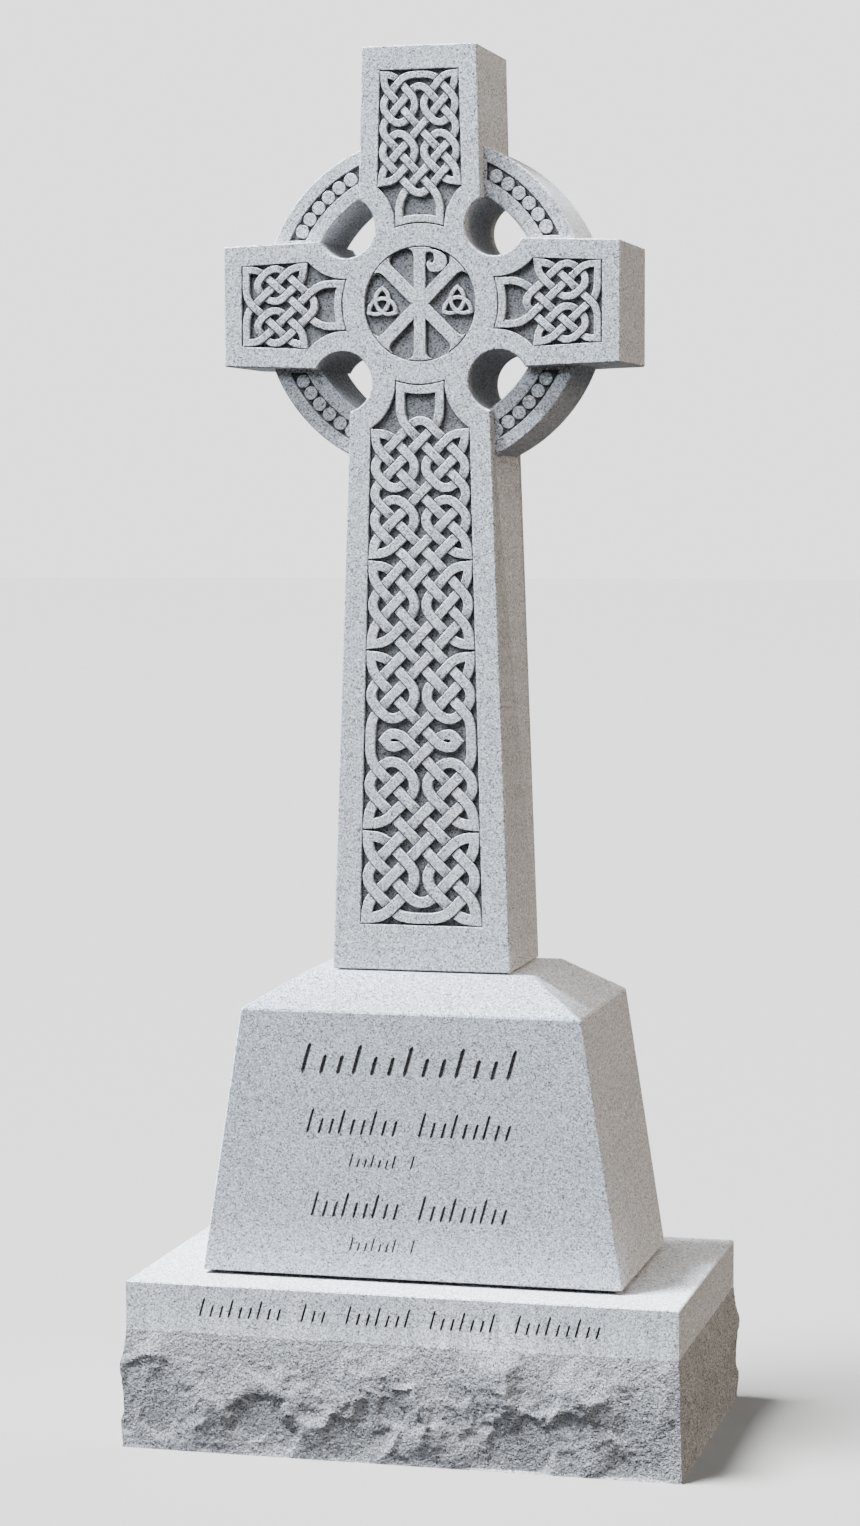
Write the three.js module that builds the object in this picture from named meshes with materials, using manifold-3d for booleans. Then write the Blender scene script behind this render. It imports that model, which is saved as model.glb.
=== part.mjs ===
// Ringed cross headstone in three granite stones: rock-pitched base, battered plinth and carved cross.
// Millimetres, +Z up, the carved front faces -Y, the origin is the middle of the base's underside.
import * as THREE from 'three';
import { mergeVertices } from 'three/addons/utils/BufferGeometryUtils.js';
import Module from 'manifold-3d';

const wasm = await Module();
wasm.setup();

// Base stone: a rock-pitched block with a sawn band along the top
const BASE_WIDTH = 864;
const BASE_DEPTH = 511;
const ROCK_HEIGHT = 184;
const BAND_HEIGHT = 76;
const ROCK_PROUD = 17;
const ROCK_FOOT_PROUD = 6;
const ROCK_BULGE_POWER = 0.6;
const ROCK_STEP = 96;
const ROCK_LEVELS = 4;

// Scallops of the rock face: two courses of shallow dishes, each picked between a least and a most
const CHIP_SPACING = 84;
const CHIP_SHIFT = 34;
const CHIP_RADIUS_LEAST = 47;
const CHIP_RADIUS_MOST = 86;
const CHIP_DEPTH_LEAST = 7;
const CHIP_DEPTH_MOST = 14.5;
const CHIP_EDGE_POWER = 0.35;
const LOW_COURSE_HEIGHT = 59;
const HIGH_COURSE_HEIGHT = 136;
const COURSE_SHIFT = 18;
const SIDE_SEEDS = { front: 11, side: 57 };
const CHIP_SEED_STEP = 7;
const COURSE_SEED_STEP = 131;

// Plinth: sides lean in, front and back are upright, the hipped top ends in a flat seat
const PLINTH_FOOT_WIDTH = 664;
const PLINTH_EAVES_WIDTH = 536;
const PLINTH_DEPTH = 358;
const PLINTH_EAVES = 417;
const HIP_RISE = 54;
const SEAT_WIDTH = 356;
const SEAT_DEPTH = 220;
const PLINTH_JOINT = 6;
const PLINTH_JOINT_INSET = 14;

// Cross: one slab, its shaft and limbs taper from the crossing to their ends
const SLAB = 203;
const FOOT_TO_CROSSING = 1025;
const CROSSING_TO_TOP = 390;
const ARM_REACH = 311;
const SHAFT_FOOT_WIDTH = 283;
const SHAFT_ROOT_WIDTH = 209;
const TOP_TIP_WIDTH = 180;
const TOP_ROOT_WIDTH = 199;
const ARM_TIP_WIDTH = 184;
const ARM_ROOT_WIDTH = 206;
const CROSS_JOINT = 2;
const CROSS_JOINT_INSET = 8;

// Gap left between two stones that rest on each other
const BED = 0.3;

// Ring and the round armpits cut in the four corners of the crossing
const RING_OUTER = 256.5;
const RING_INNER = 190;
const RING_RECESS = 23;
const ARMPIT_OFFSET = 117.5;
const ARMPIT_TOP_X = 117;
const ARMPIT_SHAFT_X = 122.5;
const ARMPIT_RADIUS = 46.5;

// Bead channel sunk in each quarter of the ring's front
const CHANNEL_INNER = 212;
const CHANNEL_OUTER = 236;
const CHANNEL_DEPTH = 9;
const CHANNEL_END_GAP = 6;
const BEAD_COUNT = 6;
const BEAD_RADIUS = 10.2;
const BEAD_PATH_RADIUS = 223.3;
const BEAD_PITCH_DEG = 5.66;

// Sunk knotwork panels: a plain border follows the armpits and the medallion
const SINK = 12;
const LIMB_BORDER = 31.5;
const SHAFT_BORDER = 37;
const MEDALLION_RADIUS = 87.5;
const MEDALLION_BORDER = 34;
const LIMB_SHOULDER_WIDTH = 132.8;
const LIMB_PANEL_END_WIDTH = 123.2;
const SHAFT_SHOULDER_WIDTH = 156;
const SHAFT_PANEL_END_WIDTH = 195;

// Knotwork: strands run over a grid eight columns wide, rows are counted from a panel's outer end
const COLUMNS = 8;
const STRAND_SHARE = 0.69;
const WALL_SHARE = 0.45;
const CORNER_SHARE = 0.4;
const LOOP_SHARE = 0.57;
const STRAND_GAP = 1.3;
const CURVE_STEPS = 2;
const CURVE_REACH = 0.38;
const STRAIGHT_COSINE = 0.998;
const HEADING_STEP = 0.01;
const NECK_SIDE_DROP = 36;
const NECK_CLEARANCE = 1.4;

// A break turns the strands back: 'across' is a wall across the panel, 'along' a wall along it
const TOP_KNOT = {
  armpit: ARMPIT_TOP_X,
  border: LIMB_BORDER,
  shoulder: LIMB_SHOULDER_WIDTH,
  end: LIMB_PANEL_END_WIDTH,
  turn: 0,
  bands: [{ rows: 10, length: 176.3 }],
  breaks: [[1, 'across', 4], [3, 'along', 4], [5, 'across', 2, 6], [7, 'along', 4]],
};
const ARM_KNOT = {
  armpit: ARMPIT_OFFSET,
  border: LIMB_BORDER,
  shoulder: LIMB_SHOULDER_WIDTH,
  end: LIMB_PANEL_END_WIDTH,
  bands: [{ rows: 6, length: 106.5 }],
  breaks: [[1, 'across', 2, 6], [3, 'along', 4]],
};
const RIGHT_KNOT = { ...ARM_KNOT, turn: -Math.PI / 2 };
const LEFT_KNOT = { ...ARM_KNOT, turn: Math.PI / 2 };
const SHAFT_KNOT = {
  armpit: ARMPIT_SHAFT_X,
  border: SHAFT_BORDER,
  shoulder: SHAFT_SHOULDER_WIDTH,
  end: SHAFT_PANEL_END_WIDTH,
  turn: Math.PI,
  bands: [
    { rows: 6, length: 147 },
    { rows: 12, length: 277.7 },
    { rows: 6, length: 139.2 },
    { rows: 10, length: 200.6 },
  ],
  breaks: [
    [1, 'across', 4], [3, 'along', 4], [6, 'across', 1, 7], [9, 'along', 4],
    [11, 'across', 2, 6], [12, 'along', 1, 7], [13, 'across', 2, 6], [15, 'along', 4],
    [18, 'across', 1, 7], [21, 'along', 4], [24, 'across', 1, 7], [27, 'along', 4],
    [29, 'across', 2, 6], [31, 'along', 4],
  ],
};
const KNOTS = [TOP_KNOT, RIGHT_KNOT, LEFT_KNOT, SHAFT_KNOT];

// Medallion: a looped staff over a saltire, with a small three-lobed knot at each side
const STAFF_WIDTH = 18;
const SALTIRE_WIDTH = 19;
const FLARE_WIDTH = 42;
const FLARE_LENGTH = 16;
const RIM_CLEARANCE = 1.6;
const KNOT_BOSS_OFFSET = 59;
const KNOT_BOSS_RADIUS = 21;
const KNOT_BOSS_STRAND = 5.5;
const KNOT_BOSS_LAP = 0.12;

// The staff's loop as curves from the staff's top, round the rim, to a curl and back to the staff
const STAFF_LOOP_START = [0, 85];
const STAFF_LOOP_CURVES = [
  [24, 84, 43, 77, 43, 63.5],
  [43, 53, 33, 47.3, 23.5, 47.3],
  [15.5, 47.3, 11.5, 53, 11.5, 59.5],
  [11.5, 62, 13, 65, 15.5, 65.5],
  [16.2, 63, 17.5, 61, 19, 61],
  [21.5, 61.5, 23.2, 64, 23.2, 68],
  [23.2, 74, 19.5, 78.3, 15, 78.3],
  [10, 78.3, 5, 77, 0, 74],
];

// Rows of slanted chisel strokes that stand in the place of the inscription
const STROKE_DEPTH = 3;
const STROKE_SLANT = 0.28;
const SHORT_STROKE_SHARE = 0.64;
const TALL_STROKE_EVERY = 3;
const WORD_GAP_STROKES = 1.6;
const PLINTH_ROWS = [
  { rise: 344, height: 49, width: 7, left: -163, right: 161, words: [13] },
  { rise: 247, height: 41, width: 4.6, left: -157, right: 155, words: [9, 9] },
  { rise: 188, height: 22, width: 3, left: -92, right: 5, words: [7, 1] },
  { rise: 118, height: 41, width: 4.6, left: -150, right: 149, words: [9, 9] },
  { rise: 58, height: 22, width: 3, left: -92, right: 5, words: [7, 1] },
];
const BASE_ROWS = [
  { rise: 225, height: 31, width: 3.6, left: -309, right: 310, words: [9, 3, 7, 7, 9] },
];

// Facets of the round features
const RING_FACETS = 32;
const ARMPIT_FACETS = 16;
const BEAD_FACETS = 7;
const MEDALLION_FACETS = 20;
const ARC_FACETS = 4;
const FLARE_FACETS = 2;
const BOSS_FACETS = 4;

// Cutters and joined pieces reach this far past the face that they cut or join
const OVERLAP = 1;

// Heights and faces worked out from the sizes above
const BASE_HEIGHT = ROCK_HEIGHT + BAND_HEIGHT;
const PLINTH_Z = BASE_HEIGHT + BED;
const CROSS_Z = PLINTH_Z + PLINTH_EAVES + HIP_RISE + BED;
const FRONT = -SLAB / 2;
const FLOOR = FRONT + SINK;
const RING_FRONT = FRONT + RING_RECESS;
const CHANNEL_FLOOR = RING_FRONT + CHANNEL_DEPTH;
const NECK_RADIUS = MEDALLION_RADIUS + MEDALLION_BORDER;

// Three.js geometry to a solid and back
function toSolid(geometry) {
  const bare = geometry.clone();
  bare.deleteAttribute('normal');
  bare.deleteAttribute('uv');
  const merged = mergeVertices(bare);
  const corners = merged.index.array;
  const triangles = [];
  for (let k = 0; k < corners.length; k += 3) {
    const [a, b, c] = [corners[k], corners[k + 1], corners[k + 2]];
    if (a !== b && b !== c && c !== a) triangles.push(a, b, c);
  }
  return new wasm.Manifold(new wasm.Mesh({
    numProp: 3,
    vertProperties: new Float32Array(merged.attributes.position.array),
    triVerts: new Uint32Array(triangles),
  }));
}

function toGeometry(solid) {
  const mesh = solid.getMesh();
  const geometry = new THREE.BufferGeometry();
  geometry.setAttribute('position', new THREE.BufferAttribute(mesh.vertProperties, mesh.numProp));
  geometry.setIndex(new THREE.BufferAttribute(mesh.triVerts, 1));
  return geometry;
}

function joinAll(solids) {
  return solids.reduce((whole, next) => whole.add(next));
}

// An outline drawn in X and Z, as thick as the step from its back face to its front face
function plate(shape, back, front) {
  const geometry = new THREE.ExtrudeGeometry(shape, { depth: back - front, bevelEnabled: false });
  geometry.rotateX(Math.PI / 2);
  geometry.translate(0, back, 0);
  return toSolid(geometry);
}

function outline(points) {
  return new THREE.Shape(points.map(([x, z]) => new THREE.Vector2(x, z)));
}

// A closed skin over rings of points, each ring joined to the next, with flat end caps
function loft(rings) {
  const count = rings[0].length;
  const last = rings.length - 1;
  const positions = rings.flat(2);
  const faces = [];
  for (let ring = 0; ring < last; ring += 1) {
    for (let k = 0; k < count; k += 1) {
      const a = ring * count + k;
      const b = ring * count + (k + 1) % count;
      faces.push(a, b, b + count, a, b + count, a + count);
    }
  }
  for (let k = 1; k < count - 1; k += 1) {
    faces.push(0, k + 1, k);
    faces.push(last * count, last * count + k, last * count + k + 1);
  }
  const geometry = new THREE.BufferGeometry();
  geometry.setAttribute('position', new THREE.Float32BufferAttribute(positions, 3));
  geometry.setIndex(faces);
  return toSolid(geometry);
}

// Base

// A repeatable number between two others for each whole seed
function pick(seed, least, most) {
  const wave = Math.sin(seed * 12.9898 + 4.1414) * 43758.5453;
  return least + (most - least) * (wave - Math.floor(wave));
}

// How deep the deepest scallop is at a place along one side
function chipDepth(along, z, sideSeed) {
  const nearest = Math.round(along / CHIP_SPACING);
  let depth = 0;
  for (let k = nearest - 2; k <= nearest + 2; k += 1) {
    for (const [course, height] of [LOW_COURSE_HEIGHT, HIGH_COURSE_HEIGHT].entries()) {
      const seed = sideSeed + k * CHIP_SEED_STEP + course * COURSE_SEED_STEP;
      const x = (k + course / 2) * CHIP_SPACING + pick(seed, -CHIP_SHIFT, CHIP_SHIFT);
      const rise = height + pick(seed + 1, -COURSE_SHIFT, COURSE_SHIFT);
      const radius = pick(seed + 2, CHIP_RADIUS_LEAST, CHIP_RADIUS_MOST);
      const away = Math.hypot(along - x, z - rise) / radius;
      depth = Math.max(depth, pick(seed + 3, CHIP_DEPTH_LEAST, CHIP_DEPTH_MOST) * (1 - away ** 2));
    }
  }
  return depth;
}

// How far the rock stands proud of the band at a place along one side: a bulge less its scallops
function rockProud(along, z, sideSeed) {
  const rise = THREE.MathUtils.clamp(z / ROCK_HEIGHT, 0, 1);
  const swell = Math.sin(Math.PI * rise);
  const foot = ROCK_FOOT_PROUD * (1 - rise);
  const chipped = chipDepth(along, z, sideSeed) * swell ** CHIP_EDGE_POWER;
  return Math.min(ROCK_PROUD, Math.max(foot, foot + ROCK_PROUD * swell ** ROCK_BULGE_POWER - chipped));
}

// One level of the base's outline, walked round the four sides; opposite sides are the same, turned
function baseRing(z, proudAt) {
  const across = Math.round(BASE_WIDTH / ROCK_STEP);
  const deep = Math.round(BASE_DEPTH / ROCK_STEP);
  const halfWidth = BASE_WIDTH / 2;
  const halfDepth = BASE_DEPTH / 2;
  const half = [];
  for (let k = 0; k < across; k += 1) {
    const share = 2 * k / across - 1;
    const side = proudAt(share < 0 ? halfDepth : -halfDepth, z, 'side');
    half.push([share * (halfWidth + side), -halfDepth - proudAt(share * halfWidth, z, 'front'), z]);
  }
  for (let k = 0; k < deep; k += 1) {
    const share = 2 * k / deep - 1;
    const face = proudAt(share < 0 ? halfWidth : -halfWidth, z, 'front');
    half.push([halfWidth + proudAt(share * halfDepth, z, 'side'), share * (halfDepth + face), z]);
  }
  return [...half, ...half.map(([x, y]) => [-x, -y, z])];
}

function baseSolid() {
  const rough = (along, z, face) => rockProud(along, z, SIDE_SEEDS[face]);
  const sawn = () => 0;
  const rings = [];
  for (let level = 0; level < ROCK_LEVELS; level += 1) {
    rings.push(baseRing(ROCK_HEIGHT * level / ROCK_LEVELS, rough));
  }
  rings.push(baseRing(ROCK_HEIGHT, sawn), baseRing(BASE_HEIGHT, sawn));
  return loft(rings).subtract(strokeRows(BASE_ROWS, -BASE_DEPTH / 2));
}

// Rows of strokes: each is a slim lozenge on the face, cut to one deepest point
function stroke(x, z, height, width, face) {
  const lean = STROKE_SLANT * height / 2;
  const corners = [
    [x - lean, z - height / 2],
    [x - width / 2, z],
    [x + lean, z + height / 2],
    [x + width / 2, z],
  ];
  const rim = corners.map(([cx, cz]) => [cx, face, cz]);
  const lip = corners.map(([cx, cz]) => [cx, face - OVERLAP, cz]);
  const deepest = corners.map(() => [x, face + STROKE_DEPTH, z]);
  return loft([lip, rim, deepest]);
}

function strokeRows(rows, face) {
  const cuts = [];
  for (const row of rows) {
    const strokes = row.words.reduce((sum, count) => sum + count, 0);
    const gaps = WORD_GAP_STROKES * (row.words.length - 1);
    const pitch = (row.right - row.left) / (strokes - 1 + gaps);
    let x = row.left;
    for (const count of row.words) {
      for (let k = 0; k < count; k += 1) {
        const height = row.height * (k % TALL_STROKE_EVERY ? SHORT_STROKE_SHARE : 1);
        cuts.push(stroke(x, row.rise - (row.height - height) / 2, height, row.width, face));
        x += pitch;
      }
      x += WORD_GAP_STROKES * pitch;
    }
  }
  return joinAll(cuts);
}

// Plinth
function plinthSolid() {
  const level = (width, depth, z) => {
    const x = width / 2;
    const y = depth / 2;
    return [[-x, -y, z], [x, -y, z], [x, y, z], [-x, y, z]];
  };
  const inset = 2 * PLINTH_JOINT_INSET;
  const body = loft([
    level(PLINTH_FOOT_WIDTH - inset, PLINTH_DEPTH - inset, 0),
    level(PLINTH_FOOT_WIDTH - inset, PLINTH_DEPTH - inset, PLINTH_JOINT),
    level(PLINTH_FOOT_WIDTH, PLINTH_DEPTH, PLINTH_JOINT),
    level(PLINTH_EAVES_WIDTH, PLINTH_DEPTH, PLINTH_EAVES),
    level(SEAT_WIDTH, SEAT_DEPTH, PLINTH_EAVES + HIP_RISE),
  ]);
  return body.subtract(strokeRows(PLINTH_ROWS, -PLINTH_DEPTH / 2));
}

// Cross: the plain limbs, with the origin at the middle of the crossing
function limbs() {
  const shaftFoot = SHAFT_FOOT_WIDTH / 2;
  const shaftRoot = SHAFT_ROOT_WIDTH / 2;
  const topTip = TOP_TIP_WIDTH / 2;
  const topRoot = TOP_ROOT_WIDTH / 2;
  const armTip = ARM_TIP_WIDTH / 2;
  const armRoot = ARM_ROOT_WIDTH / 2;
  const foot = CROSS_JOINT - FOOT_TO_CROSSING;
  const upright = plate(outline([
    [-shaftFoot, foot], [shaftFoot, foot], [shaftRoot, 0], [topRoot, 0], [topTip, CROSSING_TO_TOP],
    [-topTip, CROSSING_TO_TOP], [-topRoot, 0], [-shaftRoot, 0],
  ]), -FRONT, FRONT);
  const arms = plate(outline([
    [-ARM_REACH, -armTip], [0, -armRoot], [ARM_REACH, -armTip],
    [ARM_REACH, armTip], [0, armRoot], [-ARM_REACH, armTip],
  ]), -FRONT, FRONT);
  const seat = new THREE.BoxGeometry(
    SHAFT_FOOT_WIDTH - 2 * CROSS_JOINT_INSET,
    SLAB - 2 * CROSS_JOINT_INSET,
    CROSS_JOINT + OVERLAP,
  );
  seat.translate(0, 0, foot + (OVERLAP - CROSS_JOINT) / 2);
  return upright.add(arms).add(toSolid(seat));
}

// A round bar from back to front through the slab
function disc(x, z, radius, back, front, facets) {
  const bar = new THREE.CylinderGeometry(radius, radius, back - front, facets);
  bar.translate(x, (back + front) / 2, z);
  return toSolid(bar);
}

const QUARTERS = [[1, 1], [-1, 1], [-1, -1], [1, -1]];

function ring() {
  const outer = disc(0, 0, RING_OUTER, -RING_FRONT, RING_FRONT, RING_FACETS);
  const inner = disc(0, 0, RING_INNER, -FRONT, FRONT, RING_FACETS);
  return outer.subtract(inner);
}

// Half width of the limb that a quarter's channel runs out against, at a distance from the crossing
function limbHalf(root, tip, reach, distance) {
  return (root + (tip - root) * distance / reach) / 2;
}

function channels() {
  const middle = (CHANNEL_INNER + CHANNEL_OUTER) / 2;
  const band = disc(0, 0, CHANNEL_OUTER, CHANNEL_FLOOR, RING_FRONT - OVERLAP, RING_FACETS)
    .subtract(disc(0, 0, CHANNEL_INNER, -FRONT, FRONT, RING_FACETS));
  const rise = CHANNEL_END_GAP + limbHalf(ARM_ROOT_WIDTH, ARM_TIP_WIDTH, ARM_REACH, middle);
  const sides = {
    1: CHANNEL_END_GAP + limbHalf(TOP_ROOT_WIDTH, TOP_TIP_WIDTH, CROSSING_TO_TOP, middle),
    '-1': CHANNEL_END_GAP + limbHalf(SHAFT_ROOT_WIDTH, SHAFT_FOOT_WIDTH, FOOT_TO_CROSSING, middle),
  };
  return QUARTERS.map(([sx, sz]) => {
    const near = sides[sz];
    const window = outline([
      [near, rise], [RING_OUTER, rise], [RING_OUTER, RING_OUTER], [near, RING_OUTER],
    ].map(([x, z]) => [sx * x, sz * z]));
    return band.intersect(plate(window, -FRONT, FRONT - SLAB));
  });
}

function beads() {
  const discs = [];
  for (const [sx, sz] of QUARTERS) {
    for (let k = 0; k < BEAD_COUNT; k += 1) {
      const turn = Math.PI / 4 + THREE.MathUtils.degToRad((k - (BEAD_COUNT - 1) / 2) * BEAD_PITCH_DEG);
      const x = sx * BEAD_PATH_RADIUS * Math.cos(turn);
      const z = sz * BEAD_PATH_RADIUS * Math.sin(turn);
      discs.push(disc(x, z, BEAD_RADIUS, CHANNEL_FLOOR + OVERLAP, RING_FRONT, BEAD_FACETS));
    }
  }
  return discs;
}

// Knotwork panels. In a panel's own frame x runs across it and y outward from the crossing.

function turned([x, y], turn) {
  return [x * Math.cos(turn) - y * Math.sin(turn), x * Math.sin(turn) + y * Math.cos(turn)];
}

// Distance from the crossing at which a panel of this width meets the arc round the armpit
function shoulderDistance(knot) {
  const across = knot.armpit - knot.shoulder / 2;
  return ARMPIT_OFFSET + Math.sqrt((ARMPIT_RADIUS + knot.border) ** 2 - across ** 2);
}

// Where the arc round the armpit meets the arc round the medallion
function neckCorner(knot) {
  const arc = ARMPIT_RADIUS + knot.border;
  const apart = Math.hypot(knot.armpit, ARMPIT_OFFSET);
  const along = (apart ** 2 + NECK_RADIUS ** 2 - arc ** 2) / (2 * apart);
  const off = Math.sqrt(NECK_RADIUS ** 2 - along ** 2);
  const toward = [knot.armpit / apart, ARMPIT_OFFSET / apart];
  return [along * toward[0] - off * toward[1], along * toward[1] + off * toward[0]];
}

// Distances, widths and grid of one panel
function panelFrame(knot) {
  const shoulder = shoulderDistance(knot);
  const length = knot.bands.reduce((sum, band) => sum + band.length, 0);
  const rows = knot.bands.reduce((sum, band) => sum + band.rows, 0);
  const end = shoulder + length;
  const distance = (row) => {
    let out = end;
    let left = row;
    for (const band of knot.bands) {
      const taken = band === knot.bands.at(-1) ? left : Math.min(left, band.rows);
      out -= band.length * taken / band.rows;
      left -= taken;
    }
    return out;
  };
  const taper = (knot.end - knot.shoulder) / length;
  const halfWidth = (out) => (knot.shoulder + taper * (Math.max(out, shoulder) - shoulder)) / 2;
  const place = ([i, j]) => {
    const out = distance(j);
    return [(2 * i / COLUMNS - 1) * halfWidth(out), out];
  };
  const strandHalf = (out) => STRAND_SHARE * halfWidth(out) / COLUMNS;
  const neck = (sign) => neckNodes(knot, shoulder, strandHalf(shoulder), sign);
  return { shoulder, end, rows, halfWidth, place, strandHalf, neck };
}

function arcPoints(cx, cy, radius, from, to, steps) {
  const points = [];
  for (let k = 0; k <= steps; k += 1) {
    const angle = from + (to - from) * k / steps;
    points.push([cx + radius * Math.cos(angle), cy + radius * Math.sin(angle)]);
  }
  return points;
}

function panelCut(knot) {
  const { shoulder, end, halfWidth } = panelFrame(knot);
  const [neckX, neckY] = neckCorner(knot);
  const arc = ARMPIT_RADIUS + knot.border;
  const half = halfWidth(shoulder);
  const atShoulder = Math.atan2(shoulder - ARMPIT_OFFSET, half - knot.armpit);
  const atNeck = Math.atan2(neckY - ARMPIT_OFFSET, neckX - knot.armpit);
  const toNeck = atNeck < 0 ? atNeck + 2 * Math.PI : atNeck;
  const side = arcPoints(knot.armpit, ARMPIT_OFFSET, arc, atShoulder, toNeck, ARC_FACETS);
  const neckTurn = Math.atan2(neckY, neckX);
  const neckEnd = arcPoints(0, 0, NECK_RADIUS, neckTurn, Math.PI - neckTurn, ARC_FACETS);
  const mirrored = side.map(([x, y]) => [-x, y]).reverse();
  const corners = [-1, 1].map((sign) => [sign * halfWidth(end), end]);
  const points = [corners[1], ...side, ...neckEnd.slice(1, -1), ...mirrored, corners[0]];
  return plate(outline(points.map((point) => turned(point, knot.turn))), FLOOR, FRONT - OVERLAP);
}

// What a grid point is: a crossing, or a wall across or along the panel
function gridKinds(knot, rows) {
  const kinds = new Map();
  const last = [[rows, 'across', 1, COLUMNS - 1], [rows + 1, 'across', COLUMNS / 2]];
  for (const [row, kind, ...columns] of [...knot.breaks, ...last]) {
    columns.forEach((column) => kinds.set(`${column},${row}`, kind));
  }
  return (i, j) => {
    if (i === 0 || i === COLUMNS) return 'along';
    if (j === 0) return 'across';
    return kinds.get(`${i},${j}`) ?? (j > rows ? 'neck' : 'crossing');
  };
}

// Follows a strand from a crossing to the next one and lists the walls that it turns at
function follow(kindAt, start, step) {
  let [i, j] = start;
  let [di, dj] = step;
  const turns = [];
  for (;;) {
    i += di;
    j += dj;
    const kind = kindAt(i, j);
    if (kind === 'crossing') return { turns, to: [i, j], step: [di, dj] };
    if (kind === 'neck') return { turns, neck: true, to: [COLUMNS - start[0], start[1]], step: [di, -dj] };
    const across = kind === 'across';
    turns.push({ i, j, kind, side: across ? -dj : -di, way: across ? [di, 0] : [0, dj] });
    if (across) dj = -dj;
    else di = -di;
  }
}

// A wall's turns in a row count as one: the strand keeps clear of the first wall, at the middle one
function apexNode(run, share) {
  const { i, j, side, kind, way } = run[0];
  const middle = run[(run.length - 1) / 2];
  const at = kind === 'across' ? [middle.i, j + side * share] : [i + side * share, middle.j];
  return { at, into: way, out: way };
}

// Nodes of the centreline at the walls between two crossings: a place, and the way in and out
function turnNodes(turns) {
  const runs = [];
  for (const turn of turns) {
    if (runs.at(-1)?.[0].kind === turn.kind) runs.at(-1).push(turn);
    else runs.push([turn]);
  }
  if (runs.length === 1) return [apexNode(runs[0], WALL_SHARE)];
  if (runs.length === 3) {
    const [first, [tip], last] = runs;
    const point = {
      at: [tip.i + tip.side * WALL_SHARE, tip.j],
      into: [first[0].way[0], tip.way[1]],
      out: [last[0].way[0], tip.way[1]],
    };
    return [apexNode(first, LOOP_SHARE), point, apexNode(last, LOOP_SHARE)];
  }
  const [first, last] = runs;
  const [across, upright] = first[0].kind === 'across' ? [first[0], last[0]] : [last[0], first[0]];
  const corner = {
    at: [upright.i + upright.side * CORNER_SHARE, across.j + across.side * CORNER_SHARE],
    into: first[0].way,
    out: last[0].way,
  };
  const before = first.length > 1 ? [apexNode(first, CORNER_SHARE)] : [];
  const after = last.length > 1 ? [apexNode(last, CORNER_SHARE)] : [];
  return [...before, corner, ...after];
}

// Grid nodes to places in the panel's own frame, with their headings
function placed(node, place) {
  const heading = (way) => {
    if (!way) return way;
    const ahead = place(node.at.map((value, axis) => value + way[axis] * HEADING_STEP));
    const behind = place(node.at.map((value, axis) => value - way[axis] * HEADING_STEP));
    return new THREE.Vector2(ahead[0] - behind[0], ahead[1] - behind[1]).normalize();
  };
  return { at: new THREE.Vector2(...place(node.at)), into: heading(node.into), out: heading(node.out) };
}

// Nodes of the strand that frames the neck: down one side, round the end and up the other side
function neckNodes(knot, shoulder, half, sign) {
  const [neckX] = neckCorner(knot);
  const x = neckX - NECK_CLEARANCE - half;
  const radius = NECK_RADIUS + NECK_CLEARANCE + half;
  const turn = Math.acos(x / radius);
  const node = (ax, ay, wayX, wayY, outX = wayX, outY = wayY) => ({
    at: new THREE.Vector2(sign * ax, ay),
    into: new THREE.Vector2(sign * wayX, wayY),
    out: new THREE.Vector2(sign * outX, outY),
  });
  const corner = radius * Math.sin(turn);
  return [
    node(x, shoulder - NECK_SIDE_DROP, 0, -1),
    node(x, corner, 0, -1, -Math.sin(turn), Math.cos(turn)),
    node(-x, corner, -Math.sin(turn), -Math.cos(turn), 0, 1),
    node(-x, shoulder - NECK_SIDE_DROP, 0, 1),
  ];
}

// Points of the centreline through a list of nodes, cut short of the last one by a distance
function centreline(nodes, cut) {
  const points = [nodes[0].at];
  let way = nodes[0].out;
  for (let k = 1; k < nodes.length; k += 1) {
    const from = nodes[k - 1];
    const to = nodes[k];
    const chord = from.at.distanceTo(to.at);
    const start = from.at.clone().addScaledVector(from.out, chord * CURVE_REACH);
    const stop = to.at.clone().addScaledVector(to.into, -chord * CURVE_REACH);
    const curve = new THREE.CubicBezierCurve(from.at, start, stop, to.at);
    const line = to.at.clone().sub(from.at).normalize();
    const isStraight = line.dot(from.out) > STRAIGHT_COSINE && line.dot(to.into) > STRAIGHT_COSINE;
    const steps = isStraight ? 1 : CURVE_STEPS;
    const end = k === nodes.length - 1 ? 1 - cut / (3 * CURVE_REACH * chord) : 1;
    for (let step = 1; step <= steps; step += 1) points.push(curve.getPoint(end * step / steps));
    way = curve.getTangent(end);
  }
  return { points, way };
}

// A ribbon with upright sides along a centreline. Its ends are cut along the strands they meet.
function ribbon(points, halves, firstAcross, lastAcross, turn) {
  const normals = points.slice(1).map((point, k) => {
    const way = point.clone().sub(points[k]).normalize();
    return new THREE.Vector2(-way.y, way.x);
  });
  const acrossAt = (k) => {
    if (k === 0) return firstAcross;
    if (k === points.length - 1) return lastAcross;
    const [a, b] = [normals[k - 1], normals[k]];
    return a.clone().add(b).divideScalar(1 + a.dot(b));
  };
  const rings = points.map((point, k) => {
    const across = acrossAt(k).clone().multiplyScalar(halves[k]);
    const left = turned(point.clone().add(across).toArray(), turn);
    const right = turned(point.clone().sub(across).toArray(), turn);
    return [
      [right[0], FLOOR + OVERLAP, right[1]],
      [left[0], FLOOR + OVERLAP, left[1]],
      [left[0], FRONT, left[1]],
      [right[0], FRONT, right[1]],
    ];
  });
  return loft(rings);
}

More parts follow.
